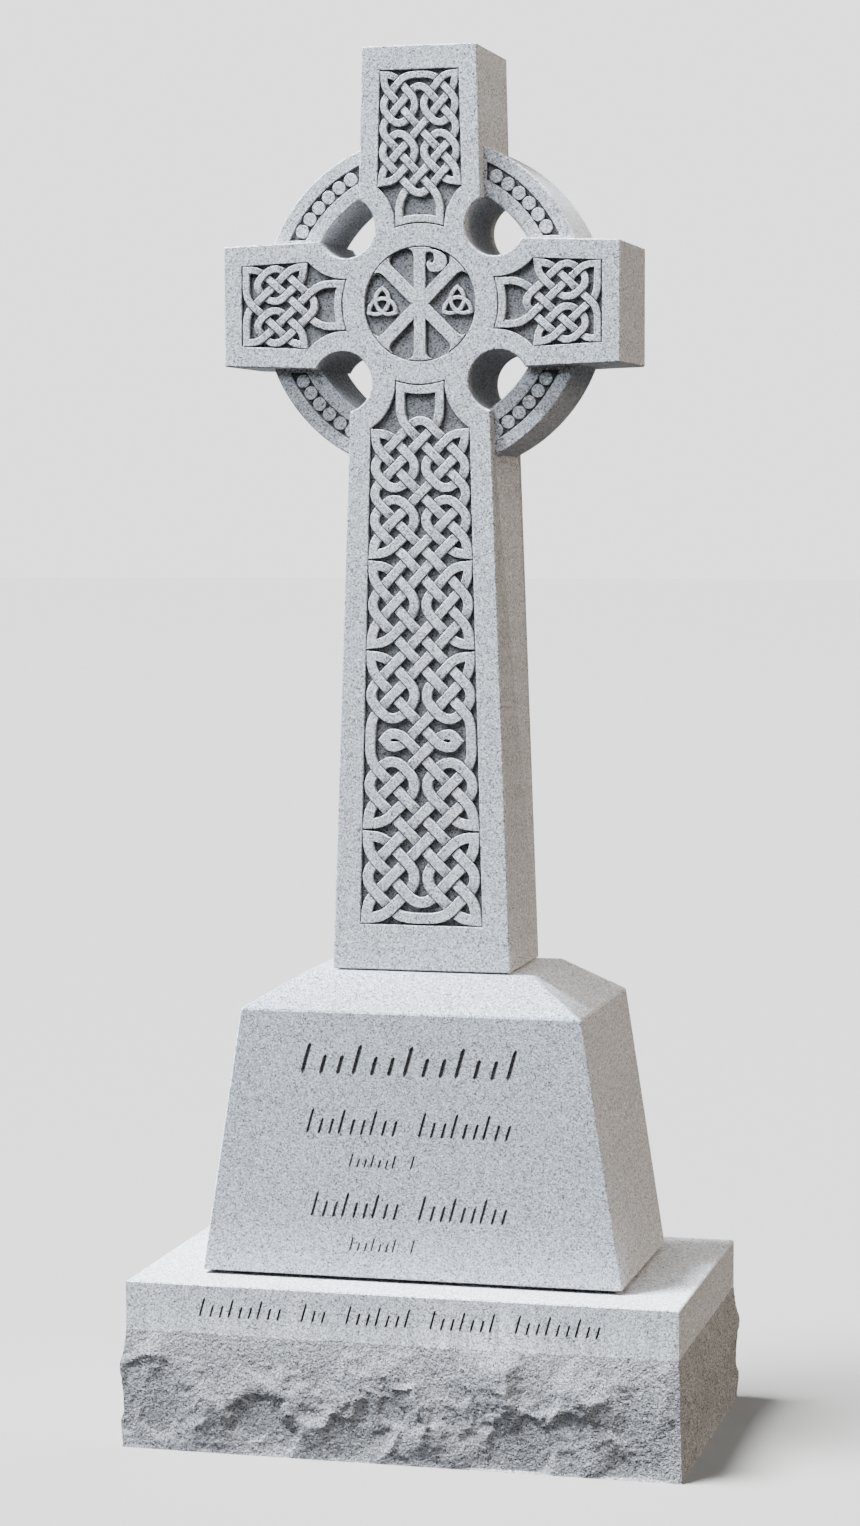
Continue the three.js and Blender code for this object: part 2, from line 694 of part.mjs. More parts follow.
// From a crossing where the strand is on top to where it meets the strand that it dips under
function strandHalf(frame, kindAt, start, step) {
  const { turns, neck, to, step: arrival } = follow(kindAt, start, step);
  const first = placed({ at: start, out: step }, frame.place);
  const last = placed({ at: to, into: arrival, out: [arrival[0], -arrival[1]] }, frame.place);
  const walls = turns.length ? turnNodes(turns).map((node) => placed(node, frame.place)) : [];
  const between = neck ? frame.neck(step[0]) : walls;
  const slant = Math.abs(last.into.cross(last.out));
  const cut = (frame.strandHalf(last.at.y) + STRAND_GAP) / slant;
  const { points, way } = centreline([first, ...between, last], cut);
  const isLeft = way.cross(last.out) > 0;
  const across = last.out.clone().multiplyScalar((isLeft ? 1 : -1) / slant);
  return { points, across };
}

// One strand from where it comes out from under its neighbour, over a crossing, to the next dip
function strandPiece(knot, frame, kindAt, start, step) {
  const ahead = strandHalf(frame, kindAt, start, step);
  const behind = strandHalf(frame, kindAt, start, step.map((value) => -value));
  const isStraight = ahead.points.length + behind.points.length === 4;
  const points = [...behind.points.slice(1).reverse(), ...ahead.points.slice(isStraight ? 1 : 0)];
  const halves = points.map((point) => frame.strandHalf(point.y));
  return ribbon(points, halves, behind.across.negate(), ahead.across, knot.turn);
}

function strands(knot) {
  const frame = panelFrame(knot);
  const kindAt = gridKinds(knot, frame.rows);
  const pieces = [];
  for (let j = 1; j <= frame.rows; j += 1) {
    for (let i = 1 + j % 2; i < COLUMNS; i += 2) {
      const rise = j % 2 ? -1 : 1;
      if (kindAt(i, j) === 'crossing') pieces.push(strandPiece(knot, frame, kindAt, [i, j], [1, rise]));
    }
  }
  return pieces;
}

// Medallion relief

// One limb of the staff or saltire, from the centre to its flared end that follows the rim
function flaredLimb(width, turn) {
  const rim = MEDALLION_RADIUS - RIM_CLEARANCE;
  const spread = Math.asin(FLARE_WIDTH / 2 / rim);
  const shape = new THREE.Shape();
  shape.moveTo(width / 2, 0);
  shape.lineTo(width / 2, rim - FLARE_LENGTH);
  shape.quadraticCurveTo(width / 2, rim * Math.cos(spread), FLARE_WIDTH / 2, rim * Math.cos(spread));
  shape.absarc(0, 0, rim, Math.PI / 2 - spread, Math.PI / 2 + spread);
  shape.quadraticCurveTo(-width / 2, rim * Math.cos(spread), -width / 2, rim - FLARE_LENGTH);
  shape.lineTo(-width / 2, 0);
  const points = shape.getPoints(FLARE_FACETS).map((point) => turned([point.x, point.y], turn));
  return plate(outline(points), FLOOR + OVERLAP, FRONT);
}

// The staff's loop: out from the top along the rim, down, and back in a curl
function staffLoop() {
  const shape = new THREE.Shape();
  shape.moveTo(...STAFF_LOOP_START);
  STAFF_LOOP_CURVES.forEach((curve) => shape.bezierCurveTo(...curve));
  const points = shape.getPoints(FLARE_FACETS).map((point) => [point.x, point.y]);
  return plate(outline(points), FLOOR + OVERLAP, FRONT);
}

// A small knot of three half-circle strands whose ends meet in three points
function knotBoss(x) {
  const arm = KNOT_BOSS_RADIUS / Math.sqrt(3);
  const strandArcs = [];
  for (let lobe = 0; lobe < 3; lobe += 1) {
    const turn = -Math.PI / 2 + lobe * 2 * Math.PI / 3;
    const cx = x + arm * Math.cos(turn);
    const cz = arm * Math.sin(turn);
    const from = turn + Math.PI / 2 - KNOT_BOSS_LAP;
    const to = from + Math.PI + 2 * KNOT_BOSS_LAP;
    const points = arcPoints(cx, cz, KNOT_BOSS_RADIUS, from, to, BOSS_FACETS)
      .map(([px, pz]) => new THREE.Vector2(px, pz));
    const halves = points.map(() => KNOT_BOSS_STRAND / 2);
    const inward = (angle) => new THREE.Vector2(-Math.cos(angle), -Math.sin(angle));
    strandArcs.push(ribbon(points, halves, inward(from), inward(to), 0));
  }
  return joinAll(strandArcs);
}

function medallionRelief() {
  const quarter = Math.PI / 2;
  const staff = [0, 2].map((k) => flaredLimb(STAFF_WIDTH, k * quarter));
  const saltire = [0.5, 1.5, 2.5, 3.5].map((k) => flaredLimb(SALTIRE_WIDTH, k * quarter));
  const hub = disc(0, 0, SALTIRE_WIDTH / 2, FLOOR + OVERLAP, FRONT, BEAD_FACETS);
  const bosses = [-KNOT_BOSS_OFFSET, KNOT_BOSS_OFFSET].map(knotBoss);
  return joinAll([hub, ...staff, ...saltire, staffLoop(), ...bosses]);
}

function crossSolid() {
  const armpits = QUARTERS.map(([sx, sz]) => {
    const x = sz > 0 ? ARMPIT_TOP_X : ARMPIT_SHAFT_X;
    return disc(sx * x, sz * ARMPIT_OFFSET, ARMPIT_RADIUS, OVERLAP - FRONT, FRONT - OVERLAP, ARMPIT_FACETS);
  });
  const body = limbs().subtract(joinAll(armpits)).add(ring());
  const medallion = disc(0, 0, MEDALLION_RADIUS, FLOOR, FRONT - OVERLAP, MEDALLION_FACETS);
  const sunk = joinAll([...channels(), ...KNOTS.map(panelCut), medallion]);
  const raised = joinAll([...beads(), ...KNOTS.flatMap(strands), medallionRelief()]);
  return body.subtract(sunk).add(raised);
}

// The stones
const dressed = { color: 0xb9bcc2, roughness: 0.85, metalness: 0, flatShading: true };
const pitched = { color: 0xa3a6ab, roughness: 0.95, metalness: 0, flatShading: true };

function stone(name, solid, look, z) {
  const mesh = new THREE.Mesh(toGeometry(solid), new THREE.MeshStandardMaterial(look));
  mesh.name = name;
  mesh.position.z = z;
  return mesh;
}

const headstone = new THREE.Group();
headstone.add(
  stone('base', baseSolid(), pitched, 0),
  stone('plinth', plinthSolid(), dressed, PLINTH_Z),
  stone('cross', crossSolid(), dressed, CROSS_Z + FOOT_TO_CROSSING),
);

export default headstone;
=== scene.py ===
# Dresses the ringed cross headstone: a rock-pitched base, a battered plinth and a carved cross in granite.
# Sizes of the stones are millimetres and repeat the solids'; meshes, textures and lights are in metres.
# +Z is up, the front faces -Y.
import math
from bisect import bisect_right
from collections import namedtuple
from itertools import groupby

import bmesh
import bpy
import numpy as np
from mathutils import Matrix, Vector, noise


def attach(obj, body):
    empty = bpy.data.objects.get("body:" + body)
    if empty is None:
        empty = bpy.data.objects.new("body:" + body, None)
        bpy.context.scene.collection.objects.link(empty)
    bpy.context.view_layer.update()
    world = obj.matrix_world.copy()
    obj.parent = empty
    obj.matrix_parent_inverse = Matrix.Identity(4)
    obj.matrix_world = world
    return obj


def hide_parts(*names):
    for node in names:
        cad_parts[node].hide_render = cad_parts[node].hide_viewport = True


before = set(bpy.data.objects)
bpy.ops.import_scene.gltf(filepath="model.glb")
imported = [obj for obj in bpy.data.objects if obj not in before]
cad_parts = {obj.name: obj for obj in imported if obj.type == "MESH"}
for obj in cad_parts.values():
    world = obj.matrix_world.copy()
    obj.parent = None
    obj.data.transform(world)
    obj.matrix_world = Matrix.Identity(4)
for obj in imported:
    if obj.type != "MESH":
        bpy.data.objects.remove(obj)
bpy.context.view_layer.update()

MM = 0.001

# Base stone: a rock-pitched block with a sawn band along the top
BASE_WIDTH = 864
BASE_DEPTH = 511
ROCK_HEIGHT = 184
BAND_HEIGHT = 76
ROCK_PROUD = 17
ROCK_FOOT_PROUD = 6
ROCK_CREST = 100
TOP_POWER = 2
FOOT_POWER = 1.2
CREST_WANDER = 16
CREST_WANDER_SIZE = 120
CREST_OCTAVES = 4
ROCK_STEP = 3
ROCK_LEVELS = 61
MOST_CUT_SHARE = 0.72
CORNER_DRESSED = 30
SIDE_SEEDS = {"front": 11, "side": 57}
DRESSED_END = {"front": 1, "side": -1}
CHIP_SEED_STEP = 7
COURSE_SEED_STEP = 131
CHIP_EDGE_POWER = 0.35
FLAKE_SEED = 4001
RIDGE_WANDER = 10
RIDGE_WANDER_SIZE = 42
RIDGE_ROUGHNESS = 0.9
RIDGE_OCTAVES = 2
GRAIN_SIZE = 6
GRAIN_DEPTH = 0.9
GRAIN_EDGE_POWER = 0.15
GRAIN_ROUGHNESS = 0.5
GRAIN_OCTAVES = 2
LACUNARITY = 2.1
BAND_LINE_WANDER = 3
BAND_LINE_SIZE = 24
PICK_RATE = 12.9898
PICK_PHASE = 4.1414
PICK_SPREAD = 43758.5453

# Plinth: sides lean in, front and back are upright, the hipped top ends in a flat seat
PLINTH_FOOT_WIDTH = 664
PLINTH_EAVES_WIDTH = 536
PLINTH_DEPTH = 358
PLINTH_EAVES = 417
HIP_RISE = 54
SEAT_WIDTH = 356
SEAT_DEPTH = 220
PLINTH_JOINT = 6
PLINTH_JOINT_INSET = 14

# Cross: one slab, its shaft and limbs taper from the crossing to their ends
SLAB = 203
FOOT_TO_CROSSING = 1025
CROSSING_TO_TOP = 390
ARM_REACH = 311
SHAFT_FOOT_WIDTH = 283
SHAFT_ROOT_WIDTH = 209
TOP_TIP_WIDTH = 180
TOP_ROOT_WIDTH = 199
ARM_TIP_WIDTH = 184
ARM_ROOT_WIDTH = 206
CROSS_JOINT = 2
CROSS_JOINT_INSET = 8
BED = 0.3

# Ring and the round armpits cut in the four corners of the crossing
RING_OUTER = 256.5
RING_INNER = 190
RING_RECESS = 23
ARMPIT_OFFSET = 117.5
ARMPIT_TOP_X = 117
ARMPIT_SHAFT_X = 122.5
ARMPIT_RADIUS = 46.5
QUARTERS = ((1, 1), (-1, 1), (-1, -1), (1, -1))

# Bead channel sunk in each quarter of the ring's front
CHANNEL_INNER = 212
CHANNEL_OUTER = 236
CHANNEL_DEPTH = 9
CHANNEL_END_GAP = 6
BEAD_COUNT = 6
BEAD_RADIUS = 10.2
BEAD_PATH_RADIUS = 223.3
BEAD_PITCH_DEG = 5.66

# Sunk knotwork panels: a plain border follows the armpits and the medallion
SINK = 12
LIMB_BORDER = 31.5
SHAFT_BORDER = 37
MEDALLION_RADIUS = 87.5
MEDALLION_BORDER = 34
LIMB_SHOULDER_WIDTH = 132.8
LIMB_PANEL_END_WIDTH = 123.2
SHAFT_SHOULDER_WIDTH = 156
SHAFT_PANEL_END_WIDTH = 195

# Knotwork: strands run over a grid eight columns wide, rows are counted from a panel's outer end
COLUMNS = 8
STRAND_SHARE = 0.69
WALL_SHARE = 0.45
CORNER_SHARE = 0.4
LOOP_SHARE = 0.57
CURVE_REACH = 0.38
CURVE_STEPS = 12
HEADING_STEP = 0.01
NECK_SIDE_DROP = 36
NECK_CLEARANCE = 1.4

# How a strand's top goes down to where it passes under another: a slope, then a narrow groove
STRAND_STEP = 3
SLOPE_LENGTH = 9
SLOPE_DROP = 1
GROOVE_WIDTH = 2.1
GROOVE_DROP = 5
STRAND_EASE = 1.1
CORNER_COSINE = 0.96
CORNER_CLEARANCE = 8.5
SAMPLE_CLEARANCE = 1.2

# Medallion: a looped staff over a saltire, with a small three-lobed knot at each side
STAFF_WIDTH = 18
SALTIRE_WIDTH = 19
FLARE_WIDTH = 42
FLARE_LENGTH = 16
FLARE_HANDLE = 2 / 3
RIM_CLEARANCE = 1.6
KNOT_BOSS_LOBES = 3
KNOT_BOSS_OFFSET = 59
KNOT_BOSS_RADIUS = 21
KNOT_BOSS_STRAND = 5.5
KNOT_BOSS_LAP = 0.12
STAFF_LOOP_START = (0, 85)
STAFF_LOOP_CURVES = (
    (24, 84, 43, 77, 43, 63.5),
    (43, 53, 33, 47.3, 23.5, 47.3),
    (15.5, 47.3, 11.5, 53, 11.5, 59.5),
    (11.5, 62, 13, 65, 15.5, 65.5),
    (16.2, 63, 17.5, 61, 19, 61),
    (21.5, 61.5, 23.2, 64, 23.2, 68),
    (23.2, 74, 19.5, 78.3, 15, 78.3),
    (10, 78.3, 5, 77, 0, 74),
)

# Rows of slanted chisel strokes that stand in the place of the inscription
STROKE_DEPTH = 3.6
STROKE_SLANT = 0.28
STROKE_SHOULDER = 0.8
SHORT_STROKE_SHARE = 0.64
TALL_STROKE_EVERY = 3
WORD_GAP_STROKES = 1.6

# Eased arrises, the tooled unevenness of the sunk floors, and how far a piece reaches into another
STONE_EASE = 2
SUNK_EASE = 0.9
RELIEF_EASE = 0.8
EASED_FROM_DEG = 20
SHARP_FROM_DEG = 22
LEAST_MITRE = 0.45
FLOOR_STEP = 4
FLOOR_WAVE = 0.55
FLOOR_WAVE_SIZE = 7
STRAND_ROOT = 3
OVERLAP = 1

# How much darker a place is painted, from 0 to 1: painted shade on the cross's carving, dark joints and
# strokes, darker rock
# Painted shade: the sunk floors, deepening down their walls, the strands' eased edges, the armpit walls,
# the bead channels and the feet of the carved walls
FLOOR_PAINTED_SHADE = 0.52
EDGE_PAINTED_SHADE = 0.3
ARMPIT_PAINTED_SHADE = 0.4
CHANNEL_PAINTED_SHADE = 0.8
WALL_SHADE_POWER = 0.5
WALL_FACING = 0.3
WALL_SHADE_FROM = 0.8
WALL_FOOT_PAINTED_SHADE = 0.9
STROKE_TONE = 1.0
STROKE_MARGIN = 20
STROKE_RIM = 0.072
# The rock: partly darker, dirtier stone, partly painted shade of its rough, self-shadowing face
ROCK_DARK_AND_SHADE = 0.57

# Facets of the round features
RING_FACETS = 144
ARMPIT_FACETS = 72
BEAD_FACETS = 32
MEDALLION_FACETS = 96
ARC_FACETS = 20
FLARE_FACETS = 8
BOSS_FACETS = 28

# Heights and faces worked out from the sizes above
BASE_HEIGHT = ROCK_HEIGHT + BAND_HEIGHT
PLINTH_Z = BASE_HEIGHT + BED
CROSSING_Z = PLINTH_Z + PLINTH_EAVES + HIP_RISE + BED + FOOT_TO_CROSSING
FRONT = -SLAB / 2
FLOOR = FRONT + SINK
RING_FRONT = FRONT + RING_RECESS
CHANNEL_FLOOR = RING_FRONT + CHANNEL_DEPTH
NECK_RADIUS = MEDALLION_RADIUS + MEDALLION_BORDER
ORIGIN = Vector((0, 0))
ARMPIT_CENTRES = [
    Vector((sx * (ARMPIT_TOP_X if sz > 0 else ARMPIT_SHAFT_X), sz * ARMPIT_OFFSET)) for sx, sz in QUARTERS
]

# A family of shallow dishes in the rock face: where they lie, how wide and how deep
Dishes = namedtuple("Dishes", "spacing shift heights height_shift radius depth tilt")
SCALLOPS = Dishes(84, 34, (59, 136), 18, (55, 100), (6, 11), 0.16)
FLAKES = Dishes(43, 17, (14, 48, 82, 116, 150, 176), 14, (19, 40), (0.9, 3), 0.09)
CHIPS = Dishes(21, 9, (8, 26, 44, 62, 80, 98, 116, 134, 152, 172), 8, (9, 19), (0.3, 1.2), 0.06)

# A knotwork panel: its sizes, turn, (rows, length) bands, and the breaks that turn strands back
Knot = namedtuple("Knot", "armpit border shoulder end turn bands breaks")
TOP_BREAKS = ((1, "across", 4), (3, "along", 4), (5, "across", 2, 6), (7, "along", 4))
ARM_BREAKS = ((1, "across", 2, 6), (3, "along", 4))
SHAFT_BREAKS = (
    (1, "across", 4), (3, "along", 4), (6, "across", 1, 7), (9, "along", 4),
    (11, "across", 2, 6), (12, "along", 1, 7), (13, "across", 2, 6), (15, "along", 4),
    (18, "across", 1, 7), (21, "along", 4), (24, "across", 1, 7), (27, "along", 4),
    (29, "across", 2, 6), (31, "along", 4),
)
SHAFT_BANDS = ((6, 147), (12, 277.7), (6, 139.2), (10, 200.6))
LIMB_SIZES = (LIMB_BORDER, LIMB_SHOULDER_WIDTH, LIMB_PANEL_END_WIDTH)
SHAFT_SIZES = (SHAFT_BORDER, SHAFT_SHOULDER_WIDTH, SHAFT_PANEL_END_WIDTH)
KNOTS = (
    Knot(ARMPIT_TOP_X, *LIMB_SIZES, 0, ((10, 176.3),), TOP_BREAKS),
    Knot(ARMPIT_OFFSET, *LIMB_SIZES, -math.pi / 2, ((6, 106.5),), ARM_BREAKS),
    Knot(ARMPIT_OFFSET, *LIMB_SIZES, math.pi / 2, ((6, 106.5),), ARM_BREAKS),
    Knot(ARMPIT_SHAFT_X, *SHAFT_SIZES, math.pi, SHAFT_BANDS, SHAFT_BREAKS),
)

# A row of strokes: height of its middle, stroke height and width, ends, and strokes per word
Row = namedtuple("Row", "rise height width left right words")
PLINTH_ROWS = (
    Row(344, 49, 7, -163, 161, (13,)),
    Row(247, 41, 4.6, -157, 155, (9, 9)),
    Row(188, 22, 3, -92, 5, (7, 1)),
    Row(118, 41, 4.6, -150, 149, (9, 9)),
    Row(58, 22, 3, -92, 5, (7, 1)),
)
BASE_ROWS = (Row(225, 31, 3.6, -309, 310, (9, 3, 7, 7, 9)),)


# Skins: a skin is a list of points in millimetres and a list of faces that close it

def bands(rows, count, total):
    """Faces between each row of points and the next; past the last point they start again."""
    faces = []
    for row in range(rows):
        for k in range(count):
            a = row * count + k
            b = row * count + (k + 1) % count
            faces.append((a, b, (b + count) % total, (a + count) % total))
    return faces


def loft(rings):
    """A closed skin over rings of points, with a flat cap at each end."""
    count = len(rings[0])
    last = (len(rings) - 1) * count
    faces = bands(len(rings) - 1, count, last + count)
    faces += [range(count - 1, -1, -1), range(last, last + count)]
    return [point for ring in rings for point in ring], faces


def level(width, depth, z):
    """The corners of a level rectangle round the middle."""
    x = width / 2
    y = depth / 2
    return [(-x, -y, z), (x, -y, z), (x, y, z), (-x, y, z)]


def outward(skin):
    """The same skin with its faces looking out."""
    points, faces = skin
    volume = 0
    for face in faces:
        first = Vector(points[face[0]])
        for b, c in zip(face[1:], face[2:]):
            volume += first.dot(Vector(points[b]).cross(Vector(points[c])))
    return skin if volume > 0 else (points, [face[::-1] for face in faces])


def new_object(name, data):
    obj = bpy.data.objects.new(name, data)
    bpy.context.scene.collection.objects.link(obj)
    return obj


def stone_object(name, skins):
    """One object from skins that stay clear of each other."""
    points = []
    faces = []
    for skin in skins:
        skin_points, skin_faces = outward(skin)
        start = len(points)
        points.extend([value * MM for value in point] for point in skin_points)
        faces.extend([start + k for k in face] for face in skin_faces)
    mesh = bpy.data.meshes.new(name)
    mesh.from_pydata(points, [], faces)
    return new_object(name, mesh)


def apart_groups(skins):
    """Skins in groups whose boxes stay clear of each other, seen from the front."""
    groups = []
    for skin in skins:
        xs, _, zs = zip(*skin[0])
        box = (min(xs), min(zs), max(xs), max(zs))
        for group in groups:
            if all(
                box[0] > other[2] or other[0] > box[2] or box[1] > other[3] or other[1] > box[3]
                for other, _ in group
            ):
                group.append((box, skin))
                break
        else:
            groups.append([(box, skin)])
    return [[skin for _, skin in group] for group in groups]


def apply(target, tool, operation):
    """Joins the tool to the target, cuts it out or keeps only what is inside it, and uses the tool up."""
    modifier = target.modifiers.new("combine", "BOOLEAN")
    modifier.operation = operation
    modifier.solver = "MANIFOLD"
    modifier.object = tool
    graph = bpy.context.evaluated_depsgraph_get()
    result = bpy.data.meshes.new_from_object(target.evaluated_get(graph))
    target.modifiers.clear()
    spent = (target.data, tool.data)
    target.data = result
    bpy.data.objects.remove(tool)
    for mesh in spent:
        bpy.data.meshes.remove(mesh)


def combine(target, skins, operation):
    for group in apart_groups(skins):
        apply(target, stone_object("tool", group), operation)


def eased(skin, width):
    """The skin with its sharp edges taken off."""
    points, faces = outward(skin)
    bm = bmesh.new()
    corners = [bm.verts.new(point) for point in points]
    for face in faces:
        bm.faces.new([corners[k] for k in face])
    bm.normal_update()
    sharp = [edge for edge in bm.edges if edge.calc_face_angle(0) > math.radians(EASED_FROM_DEG)]
    bmesh.ops.bevel(bm, geom=sharp, offset=width, segments=1, affect="EDGES", clamp_overlap=True)
    bm.verts.index_update()
    result = [vert.co[:] for vert in bm.verts], [[vert.index for vert in face.verts] for face in bm.faces]
    bm.free()
    return result


# Outlines are lists of places in X and Z, counter-clockwise seen from the front

def arc_points(centre, radius, start, stop, steps):
    angles = [start + (stop - start) * k / steps for k in range(steps + 1)]
    return [centre + radius * Vector((math.cos(angle), math.sin(angle))) for angle in angles]


def circle(centre, radius, facets):
    return arc_points(centre, radius, 0, 2 * math.pi, facets)[:-1]


def inset(outline, distance):
    """The outline moved inwards, with mitred corners."""
    result = []
    for k, here in enumerate(outline):
        before = (here - outline[k - 1]).normalized()
        after = (outline[(k + 1) % len(outline)] - here).normalized()
        left = Vector((-before.y - after.y, before.x + after.x))
        result.append(here + left * (distance / max(1 + before.dot(after), LEAST_MITRE)))
    return result


def ring_at(outline, y):
    return [(point.x, y, point.y) for point in outline]


def raised(outline, back, front):
    """A raised piece with an eased front edge."""
    edge = inset(outline, RELIEF_EASE)
    return loft([ring_at(outline, back), ring_at(outline, front + RELIEF_EASE), ring_at(edge, front)])


def sunk(outline, floor, front):
    """A cutter whose recess has an eased edge at the front."""
    lip = SUNK_EASE + OVERLAP
    return loft([
        ring_at(outline, floor), ring_at(outline, front + SUNK_EASE),
        ring_at(inset(outline, -SUNK_EASE), front), ring_at(inset(outline, -lip), front - OVERLAP),
    ])


def bezier(points, share):
    a, b, c, d = points
    rest = 1 - share
    return a * rest ** 3 + b * (3 * rest ** 2 * share) + c * (3 * rest * share ** 2) + d * share ** 3


# Base

def pick(seed, least, most):
    """A repeatable number between two others for each whole seed."""
    wave = math.sin(seed * PICK_RATE + PICK_PHASE) * PICK_SPREAD
    return least + (most - least) * (wave - math.floor(wave))


def dish_spans(dishes):
    """The least and the most of each number that is picked for a dish, in the order of the picks."""
    shift, rise, tilt = ((-most, most) for most in (dishes.shift, dishes.height_shift, dishes.tilt))
    return shift, rise, dishes.radius, dishes.depth, tilt, tilt


def dish_depth(along, z, seed, half, dishes):
    """How deep the deepest dish is, at arrays of places along one side."""
    spans = dish_spans(dishes)
    depth = np.zeros_like(along)
    reach = math.ceil(half / dishes.spacing) + 1
    for k in range(-reach, reach + 1):
        for course, height in enumerate(dishes.heights):
            own = seed + k * CHIP_SEED_STEP + course * COURSE_SEED_STEP
            shift, rise, radius, deepest, tilt_across, tilt_up = (
                pick(own + n, *span) for n, span in enumerate(spans)
            )
            across = along - (k + course / 2 % 1) * dishes.spacing - shift
            up = z - height - rise
            here = np.maximum(deepest + across * tilt_across + up * tilt_up, 0)
            depth = np.maximum(depth, here * (1 - (np.hypot(across, up) / radius) ** 2))
    return depth


def rough(along, z, size, offset, roughness, octaves):
    """Rough noise at arrays of places."""
    values = [
        noise.fractal((a / size, b / size, offset), roughness, LACUNARITY, octaves)
        for a, b in zip(along.flat, z.flat)
    ]
    return np.array(values).reshape(along.shape)


def rock_relief(side, width):
    """How far the rock stands proud on one side, level by level and step by step along it."""
    seed = SIDE_SEEDS[side]
    steps = round(width / ROCK_STEP)
    along, z = np.meshgrid(
        np.linspace(-width / 2, width / 2, steps + 1),
        np.linspace(0, ROCK_HEIGHT, ROCK_LEVELS + 1)[:-1],
    )
    wander = rough(along, 0 * z, CREST_WANDER_SIZE, seed, RIDGE_ROUGHNESS, CREST_OCTAVES)
    crest = ROCK_CREST + CREST_WANDER * wander
    over = np.clip((z - crest) / (ROCK_HEIGHT - crest), 0, 1)
    under = np.clip((crest - z) / crest, 0, 1)
    form = ROCK_PROUD * (1 - over ** TOP_POWER) - (ROCK_PROUD - ROCK_FOOT_PROUD) * under ** FOOT_POWER
    ridges = (RIDGE_WANDER_SIZE, seed, RIDGE_ROUGHNESS, RIDGE_OCTAVES)
    x = along + RIDGE_WANDER * rough(along, z, *ridges)
    rise = z + RIDGE_WANDER * rough(along + width, z, *ridges)
    families = ((0, SCALLOPS), (FLAKE_SEED, FLAKES), (-FLAKE_SEED, CHIPS))
    cut = sum(dish_depth(x, rise, seed + step, width / 2, dishes) for step, dishes in families)
    swell = np.sin(np.pi * z / ROCK_HEIGHT)
    cut = np.minimum(cut * swell ** CHIP_EDGE_POWER, MOST_CUT_SHARE * form)
    grain = GRAIN_DEPTH * rough(along, z, GRAIN_SIZE, seed, GRAIN_ROUGHNESS, GRAIN_OCTAVES)
    straight = ROCK_FOOT_PROUD * (1 - z / ROCK_HEIGHT)
    blend = np.clip((width / 2 - DRESSED_END[side] * along) / CORNER_DRESSED, 0, 1)
    return straight + (form - cut - straight) * blend + grain * swell ** GRAIN_EDGE_POWER * (1 + blend) / 2


def base_ring(z, front, side):
    """One level of the outline, walked round the four sides; opposite sides are the same, turned."""
    def walk(proud, length, meeting):
        steps = len(proud) - 1
        for k in range(steps):
            share = 2 * k / steps - 1
            yield share * (length / 2 + meeting[-1 if share < 0 else 0]), proud[k]

    half = [(x, -BASE_DEPTH / 2 - out, z) for x, out in walk(front, BASE_WIDTH, side)]
    half += [(BASE_WIDTH / 2 + out, y, z) for y, out in walk(side, BASE_DEPTH, front)]
    return half + [(-x, -y, height) for x, y, height in half]


def base_stone():
    front = rock_relief("front", BASE_WIDTH)
    side = rock_relief("side", BASE_DEPTH)
    rings = [base_ring(ROCK_HEIGHT * k / ROCK_LEVELS, front[k], side[k]) for k in range(ROCK_LEVELS)]
    flat = [np.zeros(len(front[0])), np.zeros(len(side[0]))]
    top_of_rock = base_ring(ROCK_HEIGHT, *flat)
    rings.append([
        (x, y, z + BAND_LINE_WANDER * noise.noise((x / BAND_LINE_SIZE, y / BAND_LINE_SIZE, 0)))
        for x, y, z in top_of_rock
    ])
    rings.append(base_ring(BASE_HEIGHT - STONE_EASE, *flat))
    rings.append(base_ring(BASE_HEIGHT, *(values - STONE_EASE for values in flat)))
    stone = stone_object("base_stone", [loft(rings)])
    combine(stone, stroke_rows(BASE_ROWS, -BASE_DEPTH / 2), "DIFFERENCE")
    return stone


# Rows of strokes

def stroke(x, z, height, width, face):
    """A slanted V cut with pointed ends, as a cutter on a face that looks to -Y."""
    centre = Vector((x, z))
    tip = Vector((STROKE_SLANT * height / 2, height / 2))
    shoulder = tip * STROKE_SHOULDER
    side = Vector((width / 2, 0))
    rim = [-tip, side - shoulder, side + shoulder, tip, shoulder - side, -shoulder - side]
    outline = [centre + place for place in rim]
    keel = [centre - shoulder, centre + shoulder]
    deep = face + STROKE_DEPTH
    points = ring_at(keel, deep) + ring_at(outline, face) + ring_at(outline, face - OVERLAP)
    count = len(rim)
    low, high = 0, 1
    r0, r1, r2, r3, r4, r5 = range(len(keel), len(keel) + count)
    faces = [
        (low, r1, r0), (low, high, r2, r1), (high, r3, r2),
        (high, r4, r3), (high, low, r5, r4), (low, r0, r5),
    ]
    faces.extend([r0 + k for k in face] for face in bands(1, count, 2 * count))
    faces.append(range(r0 + count, r0 + 2 * count))
    return points, faces


def stroke_rows(rows, face):
    cuts = []
    for row in rows:
        gaps = WORD_GAP_STROKES * (len(row.words) - 1)
        pitch = (row.right - row.left) / (sum(row.words) - 1 + gaps)
        x = row.left
        for count in row.words:
            for k in range(count):
                height = row.height * (SHORT_STROKE_SHARE if k % TALL_STROKE_EVERY else 1)
                cuts.append(stroke(x, row.rise - (row.height - height) / 2, height, row.width, face))
                x += pitch
            x += WORD_GAP_STROKES * pitch
    return cuts


# Plinth

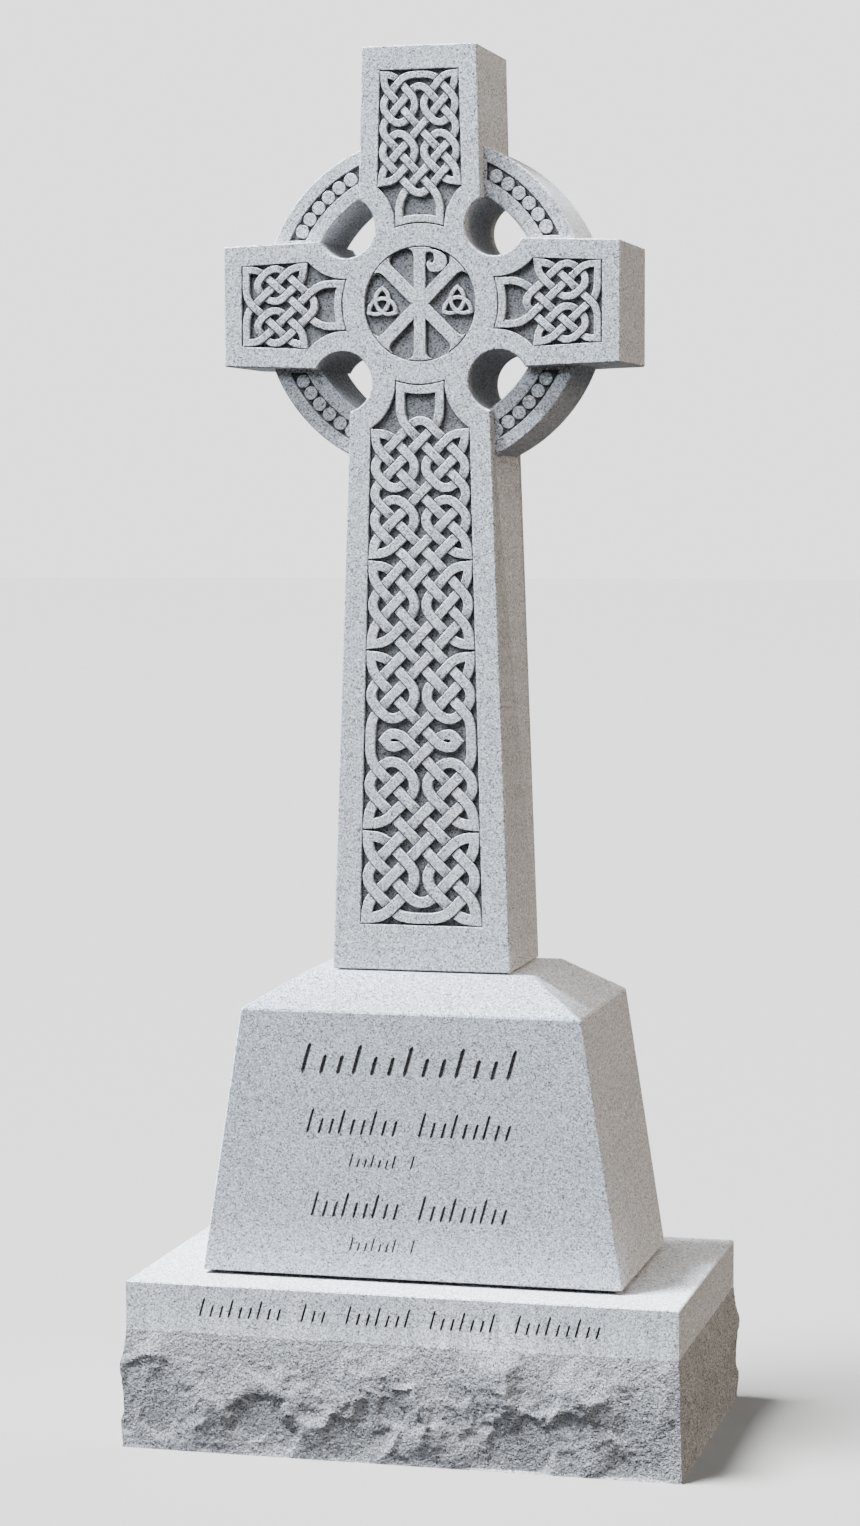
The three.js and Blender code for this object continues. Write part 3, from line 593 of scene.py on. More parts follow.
def plinth_stone():
    foot = [size - 2 * PLINTH_JOINT_INSET for size in (PLINTH_FOOT_WIDTH, PLINTH_DEPTH)]
    body = loft([
        level(*foot, 0),
        level(*foot, PLINTH_JOINT),
        level(PLINTH_FOOT_WIDTH, PLINTH_DEPTH, PLINTH_JOINT),
        level(PLINTH_EAVES_WIDTH, PLINTH_DEPTH, PLINTH_EAVES),
        level(SEAT_WIDTH, SEAT_DEPTH, PLINTH_EAVES + HIP_RISE),
    ])
    stone = stone_object("plinth_stone", [eased(body, STONE_EASE)])
    combine(stone, stroke_rows(PLINTH_ROWS, -PLINTH_DEPTH / 2), "DIFFERENCE")
    stone.data.transform(Matrix.Translation((0, 0, PLINTH_Z * MM)))
    return stone


# Cross: built round the middle of the crossing, then raised

def slab(places):
    outline = [Vector(place) for place in places]
    return eased(loft([ring_at(outline, -FRONT), ring_at(outline, FRONT)]), STONE_EASE)


def upright():
    foot = CROSS_JOINT - FOOT_TO_CROSSING
    half = [
        (SHAFT_FOOT_WIDTH / 2, foot), (SHAFT_ROOT_WIDTH / 2, 0), (TOP_ROOT_WIDTH / 2, 0),
        (TOP_TIP_WIDTH / 2, CROSSING_TO_TOP),
    ]
    return slab(half + [(-x, z) for x, z in reversed(half)])


def arms():
    tip = ARM_TIP_WIDTH / 2
    root = ARM_ROOT_WIDTH / 2
    return slab([
        (-ARM_REACH, -tip), (0, -root), (ARM_REACH, -tip), (ARM_REACH, tip), (0, root), (-ARM_REACH, tip),
    ])


def foot_bed():
    """The narrower bed under the shaft, which shows as the dark setting joint."""
    sizes = [size - 2 * CROSS_JOINT_INSET for size in (SHAFT_FOOT_WIDTH, SLAB)]
    heights = (-FOOT_TO_CROSSING, CROSS_JOINT + STONE_EASE + OVERLAP - FOOT_TO_CROSSING)
    return loft([level(*sizes, z) for z in heights])


def ring():
    """The ring as a section with eased edges, carried round."""
    low = RING_INNER + STONE_EASE
    high = RING_OUTER - STONE_EASE
    edge = -RING_FRONT - STONE_EASE
    section = [
        (high, RING_FRONT), (RING_OUTER, -edge), (RING_OUTER, edge), (high, -RING_FRONT),
        (low, -RING_FRONT), (RING_INNER, edge), (RING_INNER, -edge), (low, RING_FRONT),
    ]
    points = []
    for k in range(RING_FACETS):
        angle = 2 * math.pi * k / RING_FACETS
        points.extend((r * math.cos(angle), y, r * math.sin(angle)) for r, y in section)
    return points, bands(RING_FACETS, len(section), len(points))


def limb_half(root, tip, reach, distance):
    """Half the width of a limb at a distance from the crossing."""
    return (root + (tip - root) * distance / reach) / 2


def channel(sx, sz):
    """A quarter's channel: its ends run parallel to the limbs that it stops short of."""
    middle = (CHANNEL_INNER + CHANNEL_OUTER) / 2
    rise = CHANNEL_END_GAP + limb_half(ARM_ROOT_WIDTH, ARM_TIP_WIDTH, ARM_REACH, middle)
    top = (TOP_ROOT_WIDTH, TOP_TIP_WIDTH, CROSSING_TO_TOP)
    shaft = (SHAFT_ROOT_WIDTH, SHAFT_FOOT_WIDTH, FOOT_TO_CROSSING)
    near = CHANNEL_END_GAP + limb_half(*(top if sz > 0 else shaft), middle)
    inner, outer = (
        arc_points(ORIGIN, radius, math.asin(rise / radius), math.acos(near / radius), ARC_FACETS)
        for radius in (CHANNEL_INNER, CHANNEL_OUTER)
    )
    outline = [Vector((sx * point.x, sz * point.y)) for point in outer + inner[::-1]]
    return sunk(outline if sx * sz > 0 else outline[::-1], CHANNEL_FLOOR, RING_FRONT)


def beads():
    discs = []
    for sx, sz in QUARTERS:
        for k in range(BEAD_COUNT):
            turn = math.pi / 4 + math.radians((k - (BEAD_COUNT - 1) / 2) * BEAD_PITCH_DEG)
            centre = BEAD_PATH_RADIUS * Vector((sx * math.cos(turn), sz * math.sin(turn)))
            disc = circle(centre, BEAD_RADIUS, BEAD_FACETS)
            discs.append(raised(disc, CHANNEL_FLOOR + OVERLAP, RING_FRONT))
    return discs


def armpits():
    flares = (
        (STONE_EASE + OVERLAP, OVERLAP - FRONT), (STONE_EASE, -FRONT), (0, -FRONT - STONE_EASE),
        (0, FRONT + STONE_EASE), (STONE_EASE, FRONT), (STONE_EASE + OVERLAP, FRONT - OVERLAP),
    )
    return [
        loft([ring_at(circle(centre, ARMPIT_RADIUS + out, ARMPIT_FACETS), y) for out, y in flares])
        for centre in ARMPIT_CENTRES
    ]


# Knotwork panels: in a panel's own frame x runs across it and y outward from the crossing

# A place on a strand's centreline, with the way in and the way out
Node = namedtuple("Node", "at into out")

# A wall that turns a strand: its grid place, its kind, the strand's side of it and the way along it
Turn = namedtuple("Turn", "i j kind side way")


class Panel:
    """The distances, widths and grid of one panel."""

    def __init__(self, knot):
        self.knot = knot
        across = knot.armpit - knot.shoulder / 2
        self.arc = ARMPIT_RADIUS + knot.border
        self.shoulder = ARMPIT_OFFSET + math.sqrt(self.arc ** 2 - across ** 2)
        self.length = sum(length for _, length in knot.bands)
        self.rows = sum(rows for rows, _ in knot.bands)
        self.end = self.shoulder + self.length
        self.kinds = {}
        last = ((self.rows, "across", 1, COLUMNS - 1), (self.rows + 1, "across", COLUMNS // 2))
        for row, kind, *columns in (*knot.breaks, *last):
            for column in columns:
                self.kinds[column, row] = kind

    def distance(self, row):
        """How far out from the crossing a row lies."""
        out = self.end
        left = row
        for k, (rows, length) in enumerate(self.knot.bands):
            taken = left if k == len(self.knot.bands) - 1 else min(left, rows)
            out -= length * taken / rows
            left -= taken
        return out

    def half_width(self, out):
        taper = (self.knot.end - self.knot.shoulder) / self.length
        return (self.knot.shoulder + taper * (max(out, self.shoulder) - self.shoulder)) / 2

    def strand_half(self, out):
        return STRAND_SHARE * self.half_width(out) / COLUMNS

    def place(self, i, j):
        out = self.distance(j)
        return Vector(((2 * i / COLUMNS - 1) * self.half_width(out), out))

    def heading(self, i, j, way):
        """The way along the grid at a grid place, as a direction in the panel."""
        ahead = self.place(i + way[0] * HEADING_STEP, j + way[1] * HEADING_STEP)
        behind = self.place(i - way[0] * HEADING_STEP, j - way[1] * HEADING_STEP)
        return (ahead - behind).normalized()

    def node(self, i, j, into, out):
        return Node(self.place(i, j), self.heading(i, j, into), self.heading(i, j, out))

    def kind(self, i, j):
        """A crossing, or a wall across or along the panel, or the open neck."""
        if i in (0, COLUMNS):
            return "along"
        if j == 0:
            return "across"
        return self.kinds.get((i, j), "neck" if j > self.rows else "crossing")

    def neck_corner(self):
        """Where the arc round the armpit meets the arc round the medallion."""
        armpit = Vector((self.knot.armpit, ARMPIT_OFFSET))
        along = (armpit.length_squared + NECK_RADIUS ** 2 - self.arc ** 2) / (2 * armpit.length)
        off = math.sqrt(NECK_RADIUS ** 2 - along ** 2)
        toward = armpit.normalized()
        return along * toward + off * Vector((-toward.y, toward.x))

    def outline(self):
        neck = self.neck_corner()
        armpit = Vector((self.knot.armpit, ARMPIT_OFFSET))
        half = self.half_width(self.shoulder)
        at_shoulder = math.atan2(self.shoulder - ARMPIT_OFFSET, half - self.knot.armpit)
        at_neck = math.atan2(neck.y - ARMPIT_OFFSET, neck.x - self.knot.armpit) % (2 * math.pi)
        side = arc_points(armpit, self.arc, at_shoulder, at_neck, ARC_FACETS)
        turn = math.atan2(neck.y, neck.x)
        end = arc_points(ORIGIN, NECK_RADIUS, turn, math.pi - turn, ARC_FACETS)[1:-1]
        mirrored = [Vector((-point.x, point.y)) for point in reversed(side)]
        corners = [Vector((sign * self.half_width(self.end), self.end)) for sign in (1, -1)]
        clockwise = [corners[0], *side, *end, *mirrored, corners[1]]
        return clockwise[::-1]

    def cutter(self):
        return sunk([turned(point, self.knot.turn) for point in self.outline()], FLOOR + SINK / 2, FRONT)


def turned(point, turn):
    cos, sin = math.cos(turn), math.sin(turn)
    return Vector((point.x * cos - point.y * sin, point.x * sin + point.y * cos))


def follow(panel, start, step):
    """Follows a strand from a crossing to the next one and lists the walls that it turns at."""
    i, j = start
    di, dj = step
    turns = []
    while True:
        i += di
        j += dj
        kind = panel.kind(i, j)
        if kind == "crossing":
            return turns, False, (i, j), (di, dj)
        if kind == "neck":
            return turns, True, (COLUMNS - start[0], start[1]), (di, -dj)
        if kind == "across":
            turns.append(Turn(i, j, kind, -dj, (di, 0)))
            dj = -dj
        else:
            turns.append(Turn(i, j, kind, -di, (0, dj)))
            di = -di


def apex_node(panel, run, share):
    """A wall's turns in a row count as one: the strand keeps clear of the wall, at the middle one."""
    i, j, kind, side, way = run[0]
    middle = run[(len(run) - 1) // 2]
    if kind == "across":
        return panel.node(middle.i, j + side * share, way, way)
    return panel.node(i + side * share, middle.j, way, way)


def turn_nodes(panel, turns):
    """Nodes of the centreline at the walls between two crossings."""
    runs = [list(run) for _, run in groupby(turns, key=lambda turn: turn.kind)]
    if not runs:
        return []
    if len(runs) == 1:
        return [apex_node(panel, runs[0], WALL_SHARE)]
    if len(runs) == 2:
        a, b = (run[0] for run in runs)
        across, upright_wall = (a, b) if a.kind == "across" else (b, a)
        i = upright_wall.i + upright_wall.side * CORNER_SHARE
        j = across.j + across.side * CORNER_SHARE
        before, after = ([apex_node(panel, run, CORNER_SHARE)] if len(run) > 1 else [] for run in runs)
        return [*before, panel.node(i, j, a.way, b.way), *after]
    first, (tip,), last = runs
    into = (first[0].way[0], tip.way[1])
    out = (last[0].way[0], tip.way[1])
    point = panel.node(tip.i + tip.side * WALL_SHARE, tip.j, into, out)
    return [apex_node(panel, first, LOOP_SHARE), point, apex_node(panel, last, LOOP_SHARE)]


def neck_nodes(panel, sign):
    """Nodes of the strand that frames the neck: down one side, round the end and up the other side."""
    half = panel.strand_half(panel.shoulder)
    x = panel.neck_corner().x - NECK_CLEARANCE - half
    radius = NECK_RADIUS + NECK_CLEARANCE + half
    turn = math.acos(x / radius)
    side = panel.shoulder - NECK_SIDE_DROP
    corner = radius * math.sin(turn)
    down = Vector((0, -1))
    up = Vector((0, 1))
    leave = Vector((-sign * math.sin(turn), math.cos(turn)))
    arrive = Vector((-sign * math.sin(turn), -math.cos(turn)))
    return [
        Node(Vector((sign * x, side)), down, down), Node(Vector((sign * x, corner)), down, leave),
        Node(Vector((-sign * x, corner)), arrive, up), Node(Vector((-sign * x, side)), up, up),
    ]


# Half a strand: centreline points from its crossing, which are pointed, and how it ends
Half = namedtuple("Half", "points corners edge across")


def strand_half(panel, start, step):
    """From a crossing where the strand is on top to the middle of the strand that it dips under."""
    turns, through_neck, to, arrival = follow(panel, start, step)
    first = panel.node(*start, step, step)
    other = (arrival[0], -arrival[1])
    last = panel.node(*to, arrival, other)
    between = neck_nodes(panel, step[0]) if through_neck else turn_nodes(panel, turns)
    nodes = [first, *between, last]
    points = [first.at]
    corners = []
    for here, there in zip(nodes, nodes[1:]):
        reach = CURVE_REACH * (there.at - here.at).length
        curve = (here.at, here.at + here.out * reach, there.at - there.into * reach, there.at)
        points.extend(bezier(curve, k / CURVE_STEPS) for k in range(1, CURVE_STEPS + 1))
        if there is not last and there.into.dot(there.out) < CORNER_COSINE:
            corners.append(len(points) - 1)
    turn = last.into.x * last.out.y - last.into.y * last.out.x
    return Half(points, corners, panel.strand_half(last.at.y) / abs(turn), last.out / turn)


def dip(past_edge):
    """How far the top has gone down, at a distance before the edge of the strand above."""
    if past_edge <= 0:
        return GROOVE_DROP
    if past_edge < GROOVE_WIDTH:
        return GROOVE_DROP + (SLOPE_DROP - GROOVE_DROP) * past_edge / GROOVE_WIDTH
    return SLOPE_DROP * max(0, 1 - (past_edge - GROOVE_WIDTH) / SLOPE_LENGTH)


def strand(panel, start, step):
    """One strand from under its neighbour, over a crossing, to the middle of the next dip."""
    ahead = strand_half(panel, start, step)
    behind = strand_half(panel, start, (-step[0], -step[1]))
    points = behind.points[:0:-1] + ahead.points
    turn_at = len(behind.points) - 1
    corner_indexes = [turn_at - k for k in behind.corners] + [turn_at + k for k in ahead.corners]
    lengths = [0]
    for here, there in zip(points, points[1:]):
        lengths.append(lengths[-1] + (there - here).length)
    total = lengths[-1]
    corners = [lengths[k] for k in corner_indexes]
    marks = [0, GROOVE_WIDTH, GROOVE_WIDTH + SLOPE_LENGTH]
    fixed = [0, total, *corners]
    fixed += [behind.edge + mark for mark in marks] + [total - ahead.edge - mark for mark in marks]
    steps = round(total / STRAND_STEP)
    even = [total * k / steps for k in range(1, steps)]
    even = [s for s in even if all(abs(s - other) > SAMPLE_CLEARANCE for other in fixed)]
    stops = sorted(s for s in fixed + even if all(s == c or abs(s - c) > CORNER_CLEARANCE for c in corners))

    def at(distance):
        k = min(bisect_right(lengths, distance), len(points) - 1)
        share = (distance - lengths[k - 1]) / (lengths[k] - lengths[k - 1])
        return points[k - 1].lerp(points[k], share)

    places = [at(stop) for stop in stops]
    normals = []
    for here, there in zip(places, places[1:]):
        way = (there - here).normalized()
        normals.append(Vector((-way.y, way.x)))
    rings = []
    for k, (stop, place) in enumerate(zip(stops, places)):
        before = normals[max(k - 1, 0)]
        after = normals[min(k, len(normals) - 1)]
        across = (before + after) / (1 + before.dot(after))
        for half, left in ((behind, stop - behind.edge), (ahead, total - stop - ahead.edge)):
            blend = min(max(1 - (left - GROOVE_WIDTH) / SLOPE_LENGTH, 0), 1)
            slanted = half.across if half.across.dot(across) > 0 else -half.across
            across = across.lerp(slanted, blend)
        width = panel.strand_half(place.y)
        top = FRONT + max(dip(stop - behind.edge), dip(total - stop - ahead.edge))
        rings.append(rib_ring(place, across, width, top, STRAND_EASE, panel.knot.turn))
    return loft(rings)


def rib_ring(place, across, width, top, ease, turn):
    """A rib's section: upright sides and a flat top with eased edges."""
    root = FLOOR + STRAND_ROOT
    section = (
        (-width, root), (width, root), (width, top + ease),
        (width - ease, top), (ease - width, top), (-width, top + ease),
    )
    ring_points = []
    for out, y in section:
        point = turned(place + across * out, turn)
        ring_points.append((point.x, y, point.y))
    return ring_points


def strands(knot):
    panel = Panel(knot)
    pieces = []
    for j in range(1, panel.rows + 1):
        for i in range(1 + j % 2, COLUMNS, 2):
            if panel.kind(i, j) == "crossing":
                pieces.append(strand(panel, (i, j), (1, -1 if j % 2 else 1)))
    return pieces


# Medallion

def curve_outline(start, curves):
    """An outline through curves given as two handles and an end each."""
    here = Vector(start)
    outline = [here]
    for values in curves:
        first, second, end = (Vector(values[k:k + 2]) for k in (0, 2, 4))
        curve = (here, first, second, end)
        outline.extend(bezier(curve, k / FLARE_FACETS) for k in range(1, FLARE_FACETS + 1))
        here = end
    return outline


def flared_limb(width, turn):
    """A limb of the staff or saltire, from the centre to its flared end that follows the rim."""
    rim = MEDALLION_RADIUS - RIM_CLEARANCE
    spread = math.asin(FLARE_WIDTH / 2 / rim)
    shoulder = rim * math.cos(spread)
    half = width / 2
    out = rim - FLARE_LENGTH
    root = Vector((half, -half))
    start = Vector((half, out))
    bend = Vector((half, shoulder))
    end = Vector((FLARE_WIDTH / 2, shoulder))
    flare = (start, start.lerp(bend, FLARE_HANDLE), end.lerp(bend, FLARE_HANDLE), end)
    side = [bezier(flare, k / FLARE_FACETS) for k in range(FLARE_FACETS + 1)]
    cap = arc_points(ORIGIN, rim, math.pi / 2 - spread, math.pi / 2 + spread, FLARE_FACETS)[1:-1]
    right = [root, *side]
    outline = right + cap + [Vector((-point.x, point.y)) for point in reversed(right)]
    return raised([turned(point, turn) for point in outline], FLOOR + STRAND_ROOT, FRONT)


def knot_boss(x):
    """A small knot of three half-circle ribs whose ends meet in three points."""
    arm = KNOT_BOSS_RADIUS / math.sqrt(3)
    ribs = []
    for lobe in range(KNOT_BOSS_LOBES):
        turn = -math.pi / 2 + lobe * 2 * math.pi / KNOT_BOSS_LOBES
        centre = Vector((x + arm * math.cos(turn), arm * math.sin(turn)))
        start = turn + math.pi / 2 - KNOT_BOSS_LAP
        stop = start + math.pi + 2 * KNOT_BOSS_LAP
        rings = []
        for place in arc_points(centre, KNOT_BOSS_RADIUS, start, stop, BOSS_FACETS):
            inward = (centre - place).normalized()
            rings.append(rib_ring(place, inward, KNOT_BOSS_STRAND / 2, FRONT, RELIEF_EASE, 0))
        ribs.append(loft(rings))
    return ribs


def medallion_relief():
    quarter = math.pi / 2
    root = FLOOR + STRAND_ROOT
    staff = [flared_limb(STAFF_WIDTH, k * quarter) for k in (0, 2)]
    saltire = [flared_limb(SALTIRE_WIDTH, (k + 0.5) * quarter) for k in range(4)]
    hub = raised(circle(ORIGIN, SALTIRE_WIDTH / 2, BEAD_FACETS), root, FRONT)
    loop = raised(curve_outline(STAFF_LOOP_START, STAFF_LOOP_CURVES)[::-1], root, FRONT)
    bosses = knot_boss(-KNOT_BOSS_OFFSET) + knot_boss(KNOT_BOSS_OFFSET)
    return [hub, *staff, *saltire, loop, *bosses]


def tooled_slab():
    """A slab over the whole front whose inner face is as uneven as the tooled floors of the panels."""
    columns = round(2 * ARM_REACH / FLOOR_STEP)
    rows = round((FOOT_TO_CROSSING + CROSSING_TO_TOP) / FLOOR_STEP)
    outer = FRONT - 2 * OVERLAP
    rings = []
    for z in np.linspace(CROSSING_TO_TOP, -FOOT_TO_CROSSING, rows + 1):
        floor = []
        for x in np.linspace(-ARM_REACH, ARM_REACH, columns + 1):
            wave = noise.noise((x / FLOOR_WAVE_SIZE, z / FLOOR_WAVE_SIZE, 0))
            floor.append((x, FLOOR + FLOOR_WAVE * wave, z))
        rings.append([*floor, (ARM_REACH, outer, z), (-ARM_REACH, outer, z)])
    return loft(rings)


def cross_stone():
    stone = stone_object("cross_stone", [upright()])
    combine(stone, [arms(), foot_bed()], "UNION")
    combine(stone, armpits(), "DIFFERENCE")
    combine(stone, [ring()], "UNION")
    medallion = sunk(circle(ORIGIN, MEDALLION_RADIUS, MEDALLION_FACETS), FLOOR + SINK / 2, FRONT)
    panels = stone_object("panels", [*(Panel(knot).cutter() for knot in KNOTS), medallion])
    combine(panels, [tooled_slab()], "INTERSECT")
    apply(stone, panels, "DIFFERENCE")
    combine(stone, [channel(sx, sz) for sx, sz in QUARTERS], "DIFFERENCE")
    knotwork = [piece for knot in KNOTS for piece in strands(knot)]
    combine(stone, [*beads(), *knotwork, *medallion_relief()], "UNION")
    stone.data.transform(Matrix.Translation((0, 0, CROSSING_Z * MM)))
    return stone


# Tones: painted shade, dark joints and strokes, and darker rock, stored in the sunk attribute

def mark(stone, domain, tones):
    """Marks how much darker each face or point of a stone is painted: mostly painted shade, also dark
    joints and strokes and darker rock.
    """
    marks = stone.data.attributes.new("sunk", "FLOAT", domain)
    marks.data.foreach_set("value", tones)


def face_tones(stone, tone):
    return [tone(face.center / MM, face.normal) for face in stone.data.polygons]


def cross_tones(stone):
    """Tones of the cross's points: painted shade, darkest where a carved wall meets its floor."""
    tones = [cross_tone(point.co / MM) for point in stone.data.vertices]
    # Painted shade along the foot of each carved wall
    for face in stone.data.polygons:
        if abs(face.normal.y) < WALL_FACING and STONE_EASE < face.center.y / MM - FRONT < SINK:
            for k in face.vertices:
                if tones[k] > FLOOR_PAINTED_SHADE * WALL_SHADE_FROM:
                    tones[k] = WALL_FOOT_PAINTED_SHADE
    return tones


def cross_tone(place):
    """Dark in the setting joint; painted shade in the armpits, the bead channels, on the strands' eased
    edges, and down the walls of the panels.
    """
    if place.z < CROSSING_Z - FOOT_TO_CROSSING + CROSS_JOINT + BED:
        return STROKE_TONE
    seen = Vector((place.x, place.z - CROSSING_Z))
    if any(abs((seen - centre).length - ARMPIT_RADIUS) < BED for centre in ARMPIT_CENTRES):
        return ARMPIT_PAINTED_SHADE
    depth = place.y - FRONT
    if abs(depth - RING_RECESS - CHANNEL_DEPTH) < FLOOR_WAVE:
        return CHANNEL_PAINTED_SHADE
    if SUNK_EASE - BED < depth < STRAND_EASE + BED:
        return EDGE_PAINTED_SHADE
    if STONE_EASE + BED < depth < SINK + 2 * FLOOR_WAVE:
        return FLOOR_PAINTED_SHADE * min((depth - STONE_EASE) / (SINK - STONE_EASE), 1) ** WALL_SHADE_POWER
    return 0.0


def stroke_tone(place, normal, face):
    """Darkest on the walls of the strokes cut in a front face."""
    on_wall = normal.y < 0 and face + STROKE_RIM < place.y < face + STROKE_DEPTH
    return STROKE_TONE if on_wall else 0.0


def plinth_tone(place, normal):
    if place.z < PLINTH_Z + PLINTH_JOINT + BED:
        return STROKE_TONE
    rise = place.z - PLINTH_Z
    in_rows = abs(place.x) < SEAT_WIDTH / 2 and STROKE_MARGIN < rise < PLINTH_EAVES - STROKE_MARGIN
    return stroke_tone(place, normal, -PLINTH_DEPTH / 2) if in_rows else 0.0


def base_tone(place, normal):
    """The broken rock is painted darker than the sawn band: partly its own darker, dirtier stone, partly
    painted shade of its rough face.
    """
    if place.z < ROCK_HEIGHT:
        return ROCK_DARK_AND_SHADE
    return stroke_tone(place, normal, -BASE_DEPTH / 2) if place.z < BASE_HEIGHT - STONE_EASE else 0.0


# Finishes

STONE_COLOUR = (0.56, 0.565, 0.58, 1)
# Dark colour mixed in by the sunk attribute: painted shade, dark joints and strokes, darker rock
SHADE_AND_DARK_COLOUR = (0.135, 0.127, 0.12, 1)
STONE_ROUGHNESS = 0.82
STONE_SPECULAR = 0.25
CRYSTALS_PER_METRE = 540
CRYSTAL_TONES = (0.5, 1.4)
SPECKS_PER_METRE = 600
DARK_SPECKS = (0.86, 0.87)
DARK_SPECK_TONE = 0.25
PALE_SPECKS = (0.9, 0.91)
PALE_SPECK_TONE = 1.35
CLOUDS_PER_METRE = 4
CLOUD_DETAIL = 2
CLOUD_SPAN = (0.3, 0.7)
CLOUD_TONES = (0.97, 1.03)
BUMP_DETAIL = 3
CUT_BUMP = 0.6

# The size and depth of a finish's unevenness, and its strength on open faces
Surface = namedtuple("Surface", "size depth open_bump")
DRESSED = Surface(0.0014, 0.0004, CUT_BUMP)
PITCHED = Surface(0.004, 0.003, 0.08)


def add_node(tree, kind, values=None, **settings):
    node = tree.nodes.new(kind)
    for name, value in settings.items():
        setattr(node, name, value)
    for name, value in (values or {}).items():
        node.inputs[name].default_value = value
    return node


def remap(tree, value, span, tones):
    """Turns the numbers of one span into those of another."""
    ramp = add_node(tree, "ShaderNodeMapRange", {
        "From Min": span[0], "From Max": span[1], "To Min": tones[0], "To Max": tones[1],
    })
    tree.links.new(value, ramp.inputs["Value"])
    return ramp.outputs["Result"]


def granite(name, surface):
    """Light grey granite: crystals, dark mica, pale glints, soft clouds, and darker and rougher in cuts,
    the darker being mostly painted shade.
    """
    material = bpy.data.materials.new(name)
    material.use_nodes = True
    tree = material.node_tree
    link = tree.links.new
    shader = tree.nodes["Principled BSDF"]
    shader.inputs["Roughness"].default_value = STONE_ROUGHNESS
    shader.inputs["Specular IOR Level"].default_value = STONE_SPECULAR
    place = add_node(tree, "ShaderNodeTexCoord").outputs["Object"]

    def cells(scale):
        crystals = add_node(tree, "ShaderNodeTexVoronoi", {"Scale": scale})
        link(place, crystals.inputs["Vector"])
        split = add_node(tree, "ShaderNodeSeparateColor")
        link(crystals.outputs["Color"], split.inputs["Color"])
        return split.outputs

    def times(a, b):
        product = add_node(tree, "ShaderNodeMath", operation="MULTIPLY")
        link(a, product.inputs[0])
        link(b, product.inputs[1])
        return product.outputs["Value"]

    def clouds(scale, detail):
        texture = add_node(tree, "ShaderNodeTexNoise", {"Scale": scale, "Detail": detail})
        link(place, texture.inputs["Vector"])
        return texture.outputs["Fac"]

    specks = cells(SPECKS_PER_METRE)
    tone = remap(tree, cells(CRYSTALS_PER_METRE)["Red"], (0, 1), CRYSTAL_TONES)
    tone = times(tone, remap(tree, specks["Red"], DARK_SPECKS, (1, DARK_SPECK_TONE)))
    tone = times(tone, remap(tree, specks["Green"], PALE_SPECKS, (1, PALE_SPECK_TONE)))
    tone = times(tone, remap(tree, clouds(CLOUDS_PER_METRE, CLOUD_DETAIL), CLOUD_SPAN, CLOUD_TONES))
    # The sunk attribute mixes in painted shade, dark joints and strokes, and the rock's darker colour
    shade_and_dark_mark = add_node(tree, "ShaderNodeAttribute", attribute_name="sunk").outputs["Fac"]
    body = add_node(tree, "ShaderNodeMix", data_type="RGBA")
    body.inputs["A"].default_value = STONE_COLOUR
    body.inputs["B"].default_value = SHADE_AND_DARK_COLOUR
    link(shade_and_dark_mark, body.inputs["Factor"])
    shaded = add_node(tree, "ShaderNodeMix", {"Factor": 1.0}, data_type="RGBA", blend_type="MULTIPLY")
    link(body.outputs["Result"], shaded.inputs["A"])
    link(tone, shaded.inputs["B"])
    link(shaded.outputs["Result"], shader.inputs["Base Color"])
    bump = add_node(tree, "ShaderNodeBump", {"Distance": surface.depth})
    strength = remap(tree, shade_and_dark_mark, (0, ROCK_DARK_AND_SHADE), (surface.open_bump, CUT_BUMP))
    link(strength, bump.inputs["Strength"])
    link(clouds(1 / surface.size, BUMP_DETAIL), bump.inputs["Height"])
    link(bump.outputs["Normal"], shader.inputs["Normal"])
    return material


def finish_stone(stone, node, material):
    """Shades a stone, gives it its finish and lets it stand for its solid."""
    mesh = stone.data
    mesh.polygons.foreach_set("use_smooth", [True] * len(mesh.polygons))
    mesh.set_sharp_from_angle(angle=math.radians(SHARP_FROM_DEG))
    mesh.materials.clear()
    mesh.materials.append(material)
    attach(stone, "root")
    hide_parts(node)


dressed = granite("dressed_granite", DRESSED)
pitched = granite("pitched_granite", PITCHED)
base = base_stone()
plinth = plinth_stone()
cross = cross_stone()
# Painted shade, dark joints and strokes, and darker rock, stored per face or point
mark(base, "FACE", face_tones(base, base_tone))
mark(plinth, "FACE", face_tones(plinth, plinth_tone))
mark(cross, "POINT", cross_tones(cross))
finish_stone(base, "base", pitched)
finish_stone(plinth, "plinth", dressed)
finish_stone(cross, "cross", dressed)


# Floor, light and camera: the stones and the floor are lit apart, and only the stones cast shadows

# A light: where it stands, what it faces, its width (degrees for a sun) and what it lights
Lamp = namedtuple("Lamp", "name kind energy colour place target width lit")

